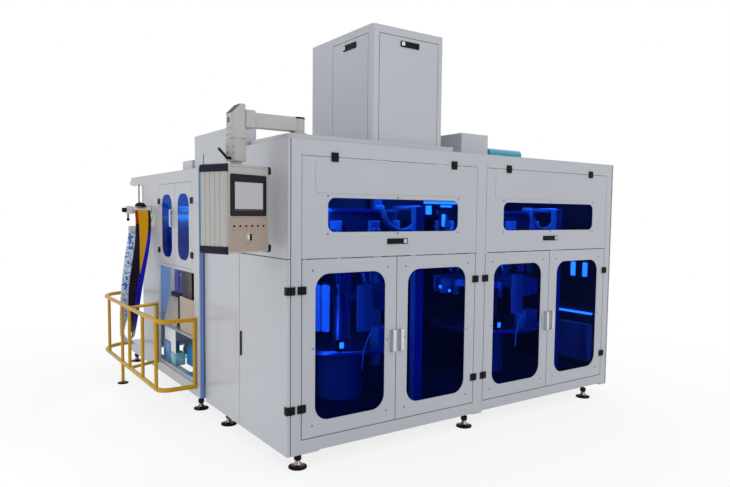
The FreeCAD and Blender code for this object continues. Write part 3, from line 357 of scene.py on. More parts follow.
def coat(name, colour, roughness=0.38, clear=0.0, cloud=0.06, peel=0.012, dust=0.25, edge=0.35,
         width=0.004, shine=0.5):
    """Sprayed or moulded surface: cloudy colour, orange peel, brighter rubbed edges and dust on top."""
    material, tree, surface = new_material(name)
    mottle = place_group(tree, MOTTLE)
    rubbed = place_group(tree, EDGE, Width=width)
    settled = place_group(tree, DUST, Amount=dust)
    cloudy = mix_colour(tree, mottle.outputs["Cloud"], shade(colour, 1 - cloud), shade(colour, 1 + cloud))
    edge_mask = math_node(tree, "MULTIPLY", rubbed.outputs["Edge"], edge)
    edged = mix_colour(tree, edge_mask, cloudy, shade(colour, RUBBED_SHARE))
    link(tree, mix_colour(tree, settled.outputs["Dust"], edged, DUST_COLOUR), surface.inputs["Base Color"])
    uneven_gloss(tree, surface, mottle.outputs["Cloud"], 0.14, roughness)
    bumpy(tree, surface, mottle.outputs["Peel"], peel, 0.002, rubbed.outputs["Normal"])
    surface.inputs["Coat Weight"].default_value = clear
    surface.inputs["Coat Roughness"].default_value = 0.08
    surface.inputs["Specular IOR Level"].default_value = shine
    return material


cabinet_paint = coat("cabinet_paint", srgb(172, 174, 180), roughness=0.34, clear=0.25)
arm_paint = coat("arm_paint", srgb(168, 165, 161), roughness=0.42, clear=0.1)
control_tan = coat("control_tan", srgb(156, 139, 127), roughness=0.5, dust=0.1)
rail_paint = coat("rail_yellow", srgb(182, 138, 0), roughness=0.35, clear=0.1, edge=0.05, dust=0.0,
                  shine=0.25)
silencer_paint = coat("silencer_teal", srgb(0, 140, 165), roughness=0.3, clear=0.4)
drive_paint = coat("drive_blue", srgb(20, 120, 200), roughness=0.3, clear=0.4)
fitting_black = coat("fitting_black", srgb(16, 16, 19), roughness=0.5, peel=0.04, edge=0.1, dust=0.0,
                     width=0.002, shine=0.1)
cap_blue_black = coat("cap_blue_black", srgb(30, 27, 46), roughness=0.4, peel=0.03, edge=0.1, dust=0.0,
                      shine=0.08)
bezel_black = coat("bezel_black", srgb(30, 26, 34), roughness=0.3, edge=0.1, dust=0.0, width=0.002,
                   shine=0.12)
white_plastic = coat("white_plastic", srgb(226, 230, 234), roughness=0.3, clear=0.3)
protective_blue = coat("protective_blue", srgb(92, 128, 188), roughness=0.3, clear=0.5, cloud=0.2)
# The drum's dark slate skin is painted shade, which lets the lit gear before it stand out.
drum_painted_shade = coat("drum_slate_painted_shade", srgb(58, 66, 84), roughness=0.3, clear=0.3)
print("coats:", len(bpy.data.materials))

# %% [markdown]
# ## Bare metal
#
# The door handles are satin aluminium. The machine bed, the table and the stems of the feet are
# brushed or turned steel. A stretched noise gives the parallel grain, as bump and as slight changes of gloss.

# %% Brushed and turned steel


def steel(name, colour, roughness=0.32, lines=420.0, length=4.0, depth=0.05):
    material, tree, surface = new_material(name)
    grain = place_group(tree, BRUSHED, Lines=lines, Length=length)
    rubbed = place_group(tree, EDGE, Width=0.002)
    streaked = mix_colour(tree, grain.outputs["Grain"], shade(colour, 0.86), shade(colour, 1.12))
    link(tree, streaked, surface.inputs["Base Color"])
    uneven_gloss(tree, surface, grain.outputs["Grain"], 0.16, roughness)
    bumpy(tree, surface, grain.outputs["Grain"], depth, 0.001, rubbed.outputs["Normal"])
    surface.inputs["Metallic"].default_value = 1.0
    return material


handle_metal = steel("satin_aluminium", srgb(205, 207, 212), roughness=0.36)
bed_steel = steel("bed_steel", srgb(176, 180, 186), roughness=0.4)
foot_metal = steel("turned_steel", srgb(150, 134, 120), roughness=0.22, lines=900.0)
gear_steel = steel("gear_steel", srgb(190, 200, 214), roughness=0.3)
screw_metal = steel("screw_steel", srgb(120, 122, 128), roughness=0.35, lines=900.0)
print("metals ready")

# %% [markdown]
# ## Blue windows
#
# The doors and flaps have panes of deep blue tinted plastic. From outside they look almost
# black where nothing is lit behind them, and bright blue where a pale machine part stands in
# the light. Real transmission through a tinted slab gives most of that, so the pane is a glass
# with a strong base colour, and small lamps inside the cabinet light the machinery. On top of
# that the tint is painted darker and lighter in broad patches, as painted shade and light of the
# gear behind. The two slim panes of the bag station are a lighter azure.

# %% Tinted panes and the working lights behind them


def tinted_pane(name, colour):
    material, tree, surface = new_material(name)
    place = object_place(tree)
    # Broad patches of darker and lighter tint: painted shade and light of the gear behind the pane. The same
    # noise bumps the plastic into a faint ripple.
    ripple_painted_light_and_shade = noise(tree, place, 3.0, 2.0)
    tint = mix_colour(tree, ripple_painted_light_and_shade, shade(colour, 0.82), shade(colour, 1.15))
    link(tree, tint, surface.inputs["Base Color"])
    bumpy(tree, surface, ripple_painted_light_and_shade, 0.08, 0.01)
    surface.inputs["Roughness"].default_value = 0.03
    surface.inputs["IOR"].default_value = 1.05
    surface.inputs["Transmission Weight"].default_value = 0.99
    return material


window_blue = tinted_pane("window_blue", (0.004, 0.05, 0.55, 1.0))
window_azure = tinted_pane("window_azure", (0.012, 0.15, 0.62, 1.0))


INSIDE_TINT = (0.85, 0.93, 1.0)
BAY_MIDDLES = (870, 2510)


def inside_lamp(name, place, target, size, power):
    lamp = area_lamp(name, place, target, size, power, INSIDE_TINT)
    lamp.visible_camera = False
    lamp.visible_transmission = False


for number, x in enumerate(BAY_MIDDLES, 1):
    inside_lamp(f"bay_lamp_{number}", at(x, 200, 2000), at(x, 1400, 1650), (1.2, 0.04), 20)
    inside_lamp(f"bay_side_lamp_{number}", at(x - 640, 220, 1150), at(x, 760, 1000), (0.04, 1.2), 6)
inside_lamp("station_lamp", at(600, 2400, 1940), at(500, 2400, 600), (0.6, 0.6), 26)
print("working lights inside the cabinet and the station")

# %% [markdown]
# ## Which piece has which finish
#
# Most solid pieces keep their shape and only need a finish. The sheet metal is all in the
# cabinet's paint, so every piece gets that first, and the lists name the ones that differ.

# %% Finishes of the solid pieces


def finish(node, *materials):
    node.data.materials.clear()
    for material in materials:
        node.data.materials.append(material)


FINISHES = ((arm_paint, ("arm_base", "swing_arm", "panel_column", "panel_case")),
            (fitting_black, ("hinges", "panel_controls", "clamp_lever", "station_collar",
                             "side_door_fittings")),
            (cap_blue_black, ("panel_corner_caps",)),
            (bezel_black, ("panel_screen",)),
            (rail_paint, ("guard_rail_top", "guard_rail_bottom", "guard_rail_uprights")),
            (silencer_paint, ("silencer",)),
            (bed_steel, ("machine_bed", "work_table")),
            (white_plastic, ("bag_chute",)))
for name, node in nodes.items():
    finish(node, window_blue if "window" in name else cabinet_paint)
for material, names in FINISHES:
    for name in names:
        finish(nodes[name], material)
finish(nodes["station_windows"], window_azure)
print("finished", len(nodes), "solid pieces")

# %% [markdown]
# ## Pieces with two finishes or more
#
# The door fittings carry black hinges and a bow handle of satin aluminium, bolted through from
# behind. Height tells them apart: the handle lies between the two hinges. On the feet, the
# lowest 9 mm are a rubber rim, the cone above is turned steel and the ball joint is black. So
# the place of a face's middle chooses its finish, and no shape is touched.

# %% Handles and feet
HANDLE_LOW, HANDLE_HIGH = 0.6, 1.0
CROWN_EDGE, BALL_LOW, BALL_HIGH = 0.016, 0.046, 0.092


def choose(node, materials, chooser):
    """Gives each face of a node the finish whose number the chooser returns for its middle."""
    finish(node, *materials)
    for face in node.data.polygons:
        face.material_index = int(chooser(face.center))
    print(node.name, "with", len(materials), "finishes")


for number in range(1, 5):
    choose(nodes[f"front_door_{number}_fittings"], [fitting_black, handle_metal],
           lambda middle: HANDLE_LOW < middle.z < HANDLE_HIGH)
choose(nodes["levelling_feet"], [foot_metal, fitting_black],
       lambda middle: middle.z < CROWN_EDGE or BALL_LOW < middle.z < BALL_HIGH)

# %% [markdown]
# ## Tools for small parts
#
# Screws, caps and plates are turned or stamped parts. Two helpers make them all: one spins a
# profile round an axis, the other skins a stack of outlines, such as the layers of a plate with
# a bevelled rim. A third helper gives a new part its mesh and its materials and ties it to the
# body that carries it.

# %% Turned, stamped and skinned parts


def facing(place, out, up=(0, 0, 1)):
    """Frame on a flat surface, seen from outside: X to the right, Y up and Z out of it."""
    out, up = Vector(out).normalized(), Vector(up).normalized()
    turn = Matrix((up.cross(out), up, out)).transposed().to_4x4()
    return Matrix.Translation(place) @ turn


def level_direction(turn):
    """Level unit vector at a turn from X."""
    return Vector((math.cos(turn), math.sin(turn), 0))


def radius_point(radius, share):
    """Point of a circle, as (x, y), at a share of its whole turn."""
    return radius * math.cos(math.tau * share), radius * math.sin(math.tau * share)


def layered(frame_on, layers):
    """Rings of points from (outline, height) pairs in the millimetres of a frame."""
    return [[frame_on @ (MM * Vector((x, y, z))) for x, y in points] for points, z in layers]


def skin(bm, rings, finish=0, smooth=False):
    """Skin over rings of points that have the same count, with a flat cap at each end."""
    rows = [[bm.verts.new(point) for point in ring] for ring in rings]
    faces = [bm.faces.new(rows[0][::-1]), bm.faces.new(rows[-1])]
    for low, high in zip(rows, rows[1:]):
        for i in range(len(low)):
            j = (i + 1) % len(low)
            faces.append(bm.faces.new((low[i], low[j], high[j], high[i])))
    for face in faces:
        face.material_index = finish
        face.smooth = smooth


def spin(bm, frame_on, profile, steps=16, finish=0, smooth=True):
    """Turned part on a frame's Z axis: the profile is (radius, height) pairs in millimetres."""
    layers = []
    for radius, height in profile:
        layers.append(([radius_point(max(radius, 0.05), i / steps) for i in range(steps)], height))
    skin(bm, layered(frame_on, layers), finish, smooth)


def outline(width, height, radius, steps=5):
    """Rectangle with round corners, as (x, y) pairs in millimetres about its middle."""
    points = []
    for side_x, side_y, start in ((1, 1, 0), (-1, 1, 90), (-1, -1, 180), (1, -1, 270)):
        for i in range(steps + 1):
            a = math.radians(start + 90 * i / steps)
            points.append((side_x * (width / 2 - radius) + radius * math.cos(a),
                           side_y * (height / 2 - radius) + radius * math.sin(a)))
    return points


def plate(bm, frame_on, width, height, depth, radius=2.0, bevel=0.8, finish=0):
    """Stamped plate with round corners and a bevelled rim, standing on a surface."""
    full = outline(width, height, radius)
    inner = outline(width - 2 * bevel, height - 2 * bevel, max(radius - bevel, 0.3))
    layers = ((full, 0.0), (full, depth - bevel), (inner, depth))
    skin(bm, layered(frame_on, layers), finish)


def ring_plate(bm, frame_on, outer, inner, depth, finish=0):
    """Flat frame with a window in it, from an outer and an inner outline."""
    loops = layered(frame_on, ((outer, 0), (outer, depth), (inner, depth), (inner, 0)))
    rows = [[bm.verts.new(point) for point in loop] for loop in loops]
    for low, high in zip(rows, rows[1:] + rows[:1]):
        for i in range(len(low)):
            j = (i + 1) % len(low)
            bm.faces.new((low[i], low[j], high[j], high[i])).material_index = finish


def add_piece(name, body, materials, build):
    """New part: build(bm) fills its mesh, and it rides on a body and takes a slot's finish."""
    mesh = bpy.data.meshes.new(name)
    bm = bmesh.new()
    build(bm)
    bmesh.ops.recalc_face_normals(bm, faces=bm.faces)
    bm.to_mesh(mesh)
    bm.free()
    for material in materials:
        mesh.materials.append(material)
    piece = bpy.data.objects.new(name, mesh)
    bpy.context.scene.collection.objects.link(piece)
    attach(piece, body)
    print(name, "on", body, len(mesh.polygons), "faces")
    return piece


print("helpers ready")

# %% [markdown]
# ## Screws
#
# Every pane is held by a frame behind the sheet, and the frame's screws show as small dark
# domes round the window: six on a door and six on a flap. Each is a turned pan head with a
# socket in its middle. The screws of one door are a single mesh, which swings with the door.

# %% Pan head screws round the windows
PANE_LAP = 22 * MM
LEAF_OUT = 0.2 * MM
HEAD = ((6.5, 0), (6.5, 1.2), (5.4, 3.0), (3.2, 3.9), (2.9, 3.8), (2.6, 1.8), (0, 1.8))
FRONT, LEFT = (0, -1, 0), (-1, 0, 0)


def screw(bm, frame_on, size=1.0, finish=0):
    spin(bm, frame_on, [(radius * size, height * size) for radius, height in HEAD], 14, finish)


def hole_of(pane):
    """Left, right, bottom and top of the window hole that a pane closes."""
    low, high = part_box(pane)
    return low.x + PANE_LAP, high.x - PANE_LAP, low.z + PANE_LAP, high.z - PANE_LAP


def door_screws(number):
    left, right, bottom, top = hole_of(f"front_door_{number}_window")
    beside, beyond = 20 * MM, 24 * MM
    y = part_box(f"front_door_{number}")[0].y - LEAF_OUT

    def build(bm):
        for x in (left - beside, right + beside):
            for z in (bottom - beyond, (bottom + top) / 2, top + beyond):
                screw(bm, facing((x, y, z), FRONT))
    add_piece(f"door_{number}_screws", f"door_{number}", [screw_metal], build)


def flap_screws():
    beyond = 11 * MM
    bottom, top = (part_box("flap_windows")[i].z for i in (0, 1))
    y = at(0, 0, 0).y - LEAF_OUT

    def build(bm):
        for left in (100, 1740):
            for x in (196, 770, 1344):
                for z in (bottom + PANE_LAP - beyond, top - PANE_LAP + beyond):
                    screw(bm, facing((at(left + x, 0, 0).x, y, z), FRONT))
    add_piece("flap_screws", "root", [screw_metal], build)


for number in range(1, 5):
    door_screws(number)
flap_screws()

# %% [markdown]
# ## Latch keys
#
# The slam latches are black, and each has a bright square key cover at one end. It is a stamped
# cap that stands a little proud of the latch body, with a small black push point in its middle.

# %% Key covers on the latches
KEY = 27.0
KEY_RISE = 6.2


def key_cover(bm, frame_on, size=KEY):
    plate(bm, frame_on, size, size, KEY_RISE, 4.0, 1.2)
    spin(bm, frame_on, ((4.2, KEY_RISE - 0.4), (4.2, KEY_RISE + 0.6), (0, KEY_RISE + 0.9)), 14, 1)


def latch_keys():
    offset = 65

    def build(bm):
        for middle in (870, 2510):
            key_cover(bm, facing(at(middle + offset, -6, 1488), FRONT))
        key_cover(bm, facing(at(1038.5 - offset, 99, 2895), FRONT))
        key_cover(bm, facing(at(707, 398.5 + offset, 2895), LEFT))
    add_piece("latch_keys", "root", [handle_metal, fitting_black], build)


latch_keys()

# %% [markdown]
# ## Swing arm
#
# The arm is a square aluminium profile. A moulded cap closes the slanted face of the elbow, a
# round plug covers its pivot, a sleeve hides the joint with the arm's box, and small set screws
# clamp the column. All of these are thin moulded or stamped parts on the solid arm.

# %% Cap, pivot plug, sleeve and set screws of the arm
ELBOW_LEFT, ELBOW_MIDDLE, ELBOW_TOP, ELBOW_CUT = -341, 115, 2338, 58


def elbow_cap(bm):
    middle = at(ELBOW_LEFT + ELBOW_CUT / 2, ELBOW_MIDDLE, ELBOW_TOP - ELBOW_CUT / 2)
    plate(bm, facing(middle, (-1, 0, 1), (1, 0, 1)), 88, 1.36 * ELBOW_CUT, 3.0, 7.0, 1.4)
    root = at(130, 115, 2293)
    spin(bm, facing(root, (0, 0, 1), (1, 0, 0)), ((47.0, -9), (47.4, -8), (47.4, 1.5), (45, 3), (0, 3.4)), 40)


def pivot_plug(bm):
    spot = facing(at(ELBOW_LEFT, 121, 2241), LEFT)
    spin(bm, spot, ((15.5, 0), (15.5, 2.2), (14.2, 3.2), (9.4, 3.2), (8.8, 2.2), (0, 2.2)), 28)
    spin(bm, spot, ((7.6, 2), (7.6, 2.8), (6.6, 3.3), (0, 3.4)), 24, 1)


def arm_sleeve(bm):
    sections = ((-249, 92, 106), (-246, 96, 110), (-190, 96, 110), (-185, 90, 104), (-185, 75, 89))
    skin(bm, [[at(x, 115, 2252) + MM * Vector((0, y, z)) for y, z in outline(width, height, 7)]
              for x, width, height in sections])


def elbow_screws(bm):
    for y in (94, 146):
        for z in (2191, 2151):
            screw(bm, facing(at(ELBOW_LEFT, y, z), LEFT), 0.8)


add_piece("arm_caps", "swing_arm", [cap_blue_black], elbow_cap)
add_piece("arm_pivot_plug", "swing_arm", [cap_blue_black, arm_paint], pivot_plug)
add_piece("arm_sleeve", "swing_arm", [arm_paint], arm_sleeve)
add_piece("arm_screws", "swing_arm", [screw_metal], elbow_screws)

# %% [markdown]
# ## Operator panel
#
# The panel is turned on its column towards the user, so its parts are placed in the panel's own
# measure: millimetres across the face, up from the floor and out from the column's axis. The
# face is a frame of extruded profile. In it sit the screen in its black bezel and, below, a
# tan plate with six push buttons over blank label strips, and a selector switch. The screen is
# off: a flat pale grey sheet of hard plastic behind a thin black lip.

# %% Screen, control plate and switches
TURN = math.radians(21.5)
FACE, BEZEL = 105, 111
ACROSS = Vector((math.cos(TURN), math.sin(TURN), 0))
OUTWARD = Vector((math.sin(TURN), -math.cos(TURN), 0))

screen_grey = coat("screen_grey", srgb(166, 167, 170), roughness=0.16, clear=0.7, cloud=0.02, peel=0.0,
                   dust=0.0)
ring_tan = coat("ring_tan", srgb(202, 170, 148), roughness=0.4, dust=0.0)
label_tan = coat("label_tan", srgb(150, 134, 126), roughness=0.5, dust=0.0)
switch_white = coat("switch_white", srgb(228, 228, 226), roughness=0.3, clear=0.3, dust=0.0)


def on_panel(across, height, out=FACE):
    """Frame on the panel's face, or further out from the column's axis."""
    place = at(-295, 115, height) + MM * (across * ACROSS + out * OUTWARD)
    return facing(place, OUTWARD)


def screen(bm):
    plate(bm, on_panel(0, 1780, BEZEL), 240, 162, 1.0, 2.5, 0.4)


def screen_lip(bm):
    ring_plate(bm, on_panel(0, 1780, BEZEL), outline(252, 174, 5), outline(240.6, 162.6, 2.5), 2.2)
    ring_plate(bm, on_panel(0, 1782.5, BEZEL), outline(299, 248, 8), outline(286, 235, 5), 2.0)
    plate(bm, on_panel(0, 1691, BEZEL), 246, 1.6, 1.4, 0.7, 0.3, 1)


def control_plate(bm):
    plate(bm, on_panel(0, 1546), 340, 212, 1.4, 6.0, 0.6)


def face_frame(bm):
    ring_plate(bm, on_panel(0, 1698), outline(342, 522, 5), outline(330, 506, 4), 3.2)


def button_rings(bm):
    for i in range(6):
        across = 50 * (i - 2.5)
        profile = ((11.5, 1), (11.5, 3.4), (10.4, 4.6), (7.6, 4.8), (7.4, 4), (0, 4))
        spin(bm, on_panel(across, 1598), profile, 24)
        spin(bm, on_panel(across, 1598, FACE + 8), ((5.2, -1), (5.0, 1.2), (3.6, 2.2), (0, 2.4)), 20, 1)
        plate(bm, on_panel(across, 1574), 30, 6, 1.9, 1.0, 0.3, 2)


def switch_ring(bm):
    spin(bm, on_panel(0, 1530), ((24.5, 1), (24.5, 4), (23.4, 5.4), (20.6, 5.6), (20.2, 4.6), (0, 4.6)), 32)
    half = [radius_point(17, 0.25 + i / 24) for i in range(13)]
    skin(bm, layered(on_panel(-5, 1530, FACE + 10), ((half, 0), (half, 5))), 1)
    plate(bm, on_panel(0, 1494), 44, 6, 1.9, 1.0, 0.3, 2)


def column_screws(bm):
    left = at(-295, 115, 0) - MM * 46 * ACROSS
    for depth in (-26, 26):
        for height in (2078, 2042):
            place = left + MM * depth * OUTWARD + Vector((0, 0, height * MM))
            screw(bm, facing(place, -ACROSS), 0.8)


PANEL_PARTS = (("panel_display", "screen_bezel", [screen_grey], screen),
               ("panel_screen_lip", "screen_bezel", [bezel_black, label_tan], screen_lip),
               ("panel_control_plate", "panel_paint", [control_tan], control_plate),
               ("panel_face_frame", "panel_paint", [arm_paint], face_frame),
               ("panel_button_rings", "black_fittings", [ring_tan, fitting_black, label_tan], button_rings),
               ("panel_switch_ring", "black_fittings", [switch_white, switch_white, label_tan], switch_ring),
               ("column_screws", "black_fittings", [screw_metal], column_screws))
for name, slot, materials, build in PANEL_PARTS:
    add_piece(name, "operator_panel", materials, build)

# %% [markdown]
# ## Corner strip of the bag station
#
# Between the cabinet and the bag station runs a tall folded strip that still wears its blue
# protective film. Its folds catch the light as bands of lighter and darker blue. It is a
# folded sheet with four narrow faces, so the bands come from its shape and its film.

# %% Folded corner strip


def corner_strip(bm):
    folds = ((-38, 1493.4), (-38, 1489), (-29, 1486), (-20, 1490), (-11, 1486), (-3, 1489), (-3, 1493.4))
    rings = [[at(x, y, z) for x, y in folds] for z in (122, 2034)]
    skin(bm, rings)


add_piece("corner_strip", "root", [protective_blue], corner_strip)

# %% [markdown]
# ## Pouch carousels
#
# Behind the panes stand the two carousels. The drum's outer skin is a dark slate blue, painted
# shade that lets the lit gear before it stand out. Its bands and the gripper arms are bright
# steel, and the pedestal is grey. The solid pieces already have the right shape, so the height
# and the distance from the axis choose each face's finish.

# %% Finishes of the carousels
AXIS_Y = 760
DRUM_LOW, DRUM_HIGH = 1.40, 1.70
DRUM_SIDE = (0.44, 0.46)
PEDESTAL_TOP = 0.62


def reach(centre):
    """Distance of a face's middle from the nearer carousel axis."""
    axes = (at(x, AXIS_Y, 0) for x in BAY_MIDDLES)
    return min(math.hypot(centre.x - axis.x, centre.y - axis.y) for axis in axes)


def carousel_finish(middle):
    if middle.z < PEDESTAL_TOP:
        return 2
    return DRUM_LOW < middle.z < DRUM_HIGH and DRUM_SIDE[0] < reach(middle) < DRUM_SIDE[1]


choose(nodes["carousels"], [gear_steel, drum_painted_shade, cabinet_paint], carousel_finish)

# %% [markdown]
# ## Inside the work opening
#
# The opening shows a shallow space full of small parts: the pouch tray in warm beige, its black
# bracket, a grey tilted plate, a pale side plate with a red rod, and below the table a blue gear
# housing with a teal motor. Each solid of the magazine fills a region of its own, so a face's
# place along the station tells which finish it gets.

# %% Magazine, gear housing, rollers and beacon
tray_beige = coat("tray_beige", srgb(176, 160, 146), roughness=0.45)
plate_light = coat("plate_light", srgb(214, 208, 200), roughness=0.35, clear=0.2)
plate_grey = coat("plate_grey", srgb(168, 164, 160), roughness=0.35, clear=0.2)
pouch_blue = coat("pouch_blue", srgb(16, 18, 150), roughness=0.25, clear=0.4, dust=0.0)
rod_red = coat("rod_red", srgb(120, 50, 52), roughness=0.35)
motor_teal = coat("motor_teal", srgb(120, 186, 205), roughness=0.35, clear=0.3)
amber = coat("amber_lens", srgb(232, 150, 44), roughness=0.14, clear=0.8, cloud=0.1, dust=0.05)
roller_grey = coat("roller_grey", srgb(196, 194, 192), roughness=0.3, clear=0.2)


# Borders between the solids, each the corner of a region
TRAY_END = at(0, 2127, 0)
BRACKET_END = at(0, 2235, 888)
ROD_START = at(60, 0, 1000)
SIDE_PLATE_START = at(100, 2490, 0)
MOTOR_START = at(0, 2242, 0)
LENS_START = at(0, 3623, 0)
ROLLER_ENDS = at(-288, 2930, 1600)


def magazine_finish(middle):
    if middle.x > SIDE_PLATE_START.x:
        return 4 if middle.y < SIDE_PLATE_START.y else 3
    if middle.x > ROD_START.x and middle.z > ROD_START.z:
        return 5
    if middle.y < TRAY_END.y:
        return 0
    return 1 if middle.y < BRACKET_END.y or middle.z > BRACKET_END.z else 2


def roller_finish(middle):
    """The rollers' free ends and the high part behind the front roller are black."""
    return middle.x < ROLLER_ENDS.x or middle.y > ROLLER_ENDS.y and middle.z > ROLLER_ENDS.z


choose(nodes["bag_magazine"],
       [tray_beige, fitting_black, plate_grey, plate_light, pouch_blue, rod_red], magazine_finish)
choose(nodes["drive_box"], [drive_paint, motor_teal], lambda middle: middle.y > MOTOR_START.y)
choose(nodes["beacon"], [fitting_black, amber], lambda middle: middle.y > LENS_START.y)
choose(nodes["film_rollers"], [roller_grey, fitting_black], roller_finish)

# %% [markdown]
# ## Printed film
#
# The film hangs from the front roller in one long loop and climbs back to the second roller.
# It could be a cloth simulation, but a hanging film is stiff across its width, so a plain rule
# draws it better: a middle line, a turn that grows towards the loop, and a faint curl. The
# distance along the line and across the film become its UV map, and the print uses them. The
# outside is printed and the inside is bare milky film, so a solidify step gives the sheet two
# sides with a material each.

# %% Shape of the hanging film
FILM_WIDTH, FILM_TURN = 148.0, 62.0
FILM_TOP, FILM_LOW, FILM_BACK = 1690.0, 480.0, 1500.0
FILM_X, FILM_FRONT_Y, FILM_BACK_Y = -140.0, 2799.0, 3018.0
FILM_DRIFT, FILM_SWAY, FILM_LEAN, FILM_SLACK = -85.0, 25.0, 60.0, 30.0
LOOP_SPAN, LOOP_DROP = 110.0, 85.0
FILM_CURL, CURL_PITCH = 5.0, 190.0
COLUMNS, FRONT_ROWS, LOOP_ROWS, BACK_ROWS = 12, 48, 15, 40


def film_line():
    """Middle points of the film in millimetres, each with the turn of its width."""
    full = math.radians(FILM_TURN)
    line = []
    for i in range(FRONT_ROWS + 1):
        t = i / FRONT_ROWS
        sway = FILM_SWAY * math.sin(math.tau * 0.9 * t) * (1 - t)
        drift = FILM_DRIFT * math.sin(math.pi / 2 * t) ** 1.5
        height = FILM_TOP + (FILM_LOW - FILM_TOP) * t
        middle = Vector((FILM_X + sway + drift, FILM_FRONT_Y + FILM_LEAN * t * t, height))
        line.append((middle, full * t ** 3))
    low = line[-1][0]
    beyond = Vector((-math.sin(full), math.cos(full), 0))
    for i in range(1, LOOP_ROWS):
        a = math.pi * i / LOOP_ROWS
        along = beyond * (LOOP_SPAN / 2 * (1 - math.cos(a)))
        line.append((low + along - Vector((0, 0, LOOP_DROP * math.sin(a))), full))
    start, end = low + beyond * LOOP_SPAN, Vector((FILM_X, FILM_BACK_Y, FILM_BACK))
    for i in range(BACK_ROWS + 1):
        t = i / BACK_ROWS
        slack = Vector((0, FILM_SLACK * math.sin(math.pi * t), 0))
        line.append((start.lerp(end, t) + slack, full * (1 - t) ** 2))
    return line


def hanging_film():
    line = film_line()
    along = [0.0]
    for (before, _), (after, _) in zip(line, line[1:]):
        along.append(along[-1] + (after - before).length)
    mesh = bpy.data.meshes.new("hanging_film")
    bm = bmesh.new()
    uv = bm.loops.layers.uv.new("film")
    rows = []
    for (middle, turn), run in zip(line, along):
        side = level_direction(turn)
        out = Vector((math.sin(turn), -math.cos(turn), 0))
        curl = FILM_CURL * math.sin(run / CURL_PITCH) * min(1.0, run / 300, (along[-1] - run) / 300)
        row = []
        for i in range(COLUMNS + 1):
            u = i / COLUMNS
            point = middle + side * (FILM_WIDTH * (u - 0.5)) + out * (curl * math.sin(math.pi * u))
            row.append((bm.verts.new(at(*point)), u, run * MM))
        rows.append(row)
    for low, high in zip(rows, rows[1:]):
        for i in range(COLUMNS):
            corners = (low[i], high[i], high[i + 1], low[i + 1])
            face = bm.faces.new([c[0] for c in corners])
            face.smooth = True
            for loop, (_, u, v) in zip(face.loops, corners):
                loop[uv].uv = (u, v)
    bm.to_mesh(mesh)
    bm.free()
    film = bpy.data.objects.new("hanging_film", mesh)
    bpy.context.scene.collection.objects.link(film)
    skin_step = film.modifiers.new("thickness", "SOLIDIFY")
    skin_step.thickness = 0.0005
    skin_step.material_offset = 1
    skin_step.material_offset_rim = 1
    return film, along[-1] * MM


film, film_length = hanging_film()
print("film", round(film_length, 3), "m long")

# %% [markdown]
# ## Print on the film
#
# The print is a plain design of stripes: a gold band that narrows as it runs across a dark
# ground, a bright blue field beside it and a short red edge, repeated every 1.2 metres. Each
# border is a comparison of the place across the film with a straight or bent line.

# %% Stripes, gloss and the milky inside
REPEAT = 1.21
RED_END, BLACK_END, BLUE_START, BLUE_SIDE = 0.11, 0.17, 0.52, 0.62
GOLD_LEFT, GOLD_BEND, GOLD_RIGHT, GOLD_LEAN = 0.2, 1.7, 0.86, 0.35
BAND_GOLD, BAND_BLUE, BAND_RED = srgb(212, 152, 18), srgb(18, 18, 178), srgb(170, 34, 20)
DARK_GROUND, BLACK_GROUND = srgb(24, 12, 34), srgb(16, 12, 20)


def above(tree, value, limit):
    return math_node(tree, "GREATER_THAN", value, limit)


def both(tree, first, second):
    return math_node(tree, "MULTIPLY", first, second)


def film_gloss(tree, surface, roughness):
    wrinkles = noise(tree, object_place(tree), 16.0, 3.0)
    bumpy(tree, surface, wrinkles, 0.35, 0.006)
    uneven_gloss(tree, surface, wrinkles, 0.2, roughness)
    surface.inputs["Specular IOR Level"].default_value = 0.18


def printed_film():
    material, tree, surface = new_material("printed_stripes")
    place = tree.nodes.new("ShaderNodeUVMap")
    place.uv_map = "film"
    parts = tree.nodes.new("ShaderNodeSeparateXYZ")
    link(tree, place.outputs["UV"], parts.inputs[0])
    across = parts.outputs["X"]
    run = math_node(tree, "FRACT", math_node(tree, "DIVIDE", parts.outputs["Y"], REPEAT))
    bend = math_node(tree, "MULTIPLY", math_node(tree, "POWER", run, 2.0), GOLD_BEND)
    left_border = math_node(tree, "ADD", bend, GOLD_LEFT)
    right_border = math_node(tree, "SUBTRACT", GOLD_RIGHT, math_node(tree, "MULTIPLY", run, GOLD_LEAN))
    ground = mix_colour(tree, above(tree, RED_END, run), DARK_GROUND, BAND_RED)
    right_part = mix_colour(tree, above(tree, run, BLACK_END), BLACK_GROUND, BAND_BLUE)
    low_run = mix_colour(tree, above(tree, run, BLUE_START), right_part, BAND_BLUE)
    beside = mix_colour(tree, above(tree, across, right_border), ground, low_run)
    blue_low = both(tree, above(tree, across, BLUE_SIDE), above(tree, run, BLUE_START))
    beside = mix_colour(tree, blue_low, beside, BAND_BLUE)
    in_gold = both(tree, above(tree, across, left_border), above(tree, right_border, across))
    link(tree, mix_colour(tree, in_gold, beside, BAND_GOLD), surface.inputs["Base Color"])
    film_gloss(tree, surface, 0.24)
    return material


def milky_film():
    material, tree, surface = new_material("milky_film")
    cloud = noise(tree, object_place(tree), 9.0, 2.0)
    contours = math_node(tree, "FRACT", math_node(tree, "MULTIPLY", cloud, 9.0))
    tint = mix_colour(tree, above(tree, contours, 0.7), srgb(222, 230, 238), srgb(70, 122, 196))
    link(tree, tint, surface.inputs["Base Color"])
    film_gloss(tree, surface, 0.3)
    return material


film.data.materials.append(printed_film())
film.data.materials.append(milky_film())
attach(film, "root")
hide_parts("film_web")

# %% [markdown]
# ## Stack of flat pouches
#
# The empty pouches stand on the tray as a tight stack. Each is a flat laminate with sealed rims,
# thinner at the rim than in its middle, and no two lie quite alike. A seeded shuffle of a few
# millimetres gives that, and the front pouch shows the ridge of its zipper. The print fades to
# black at the edge of the stack that is nearer to the cabinet.

# %% Pouches
POUCH_COUNT = 16
POUCH_WIDTH, POUCH_HEIGHT, RIM, ZIPPER_UP = 276.0, 244.0, 9.0, 92.0
DARK_TO, BLUE_FROM = 1985, 2065


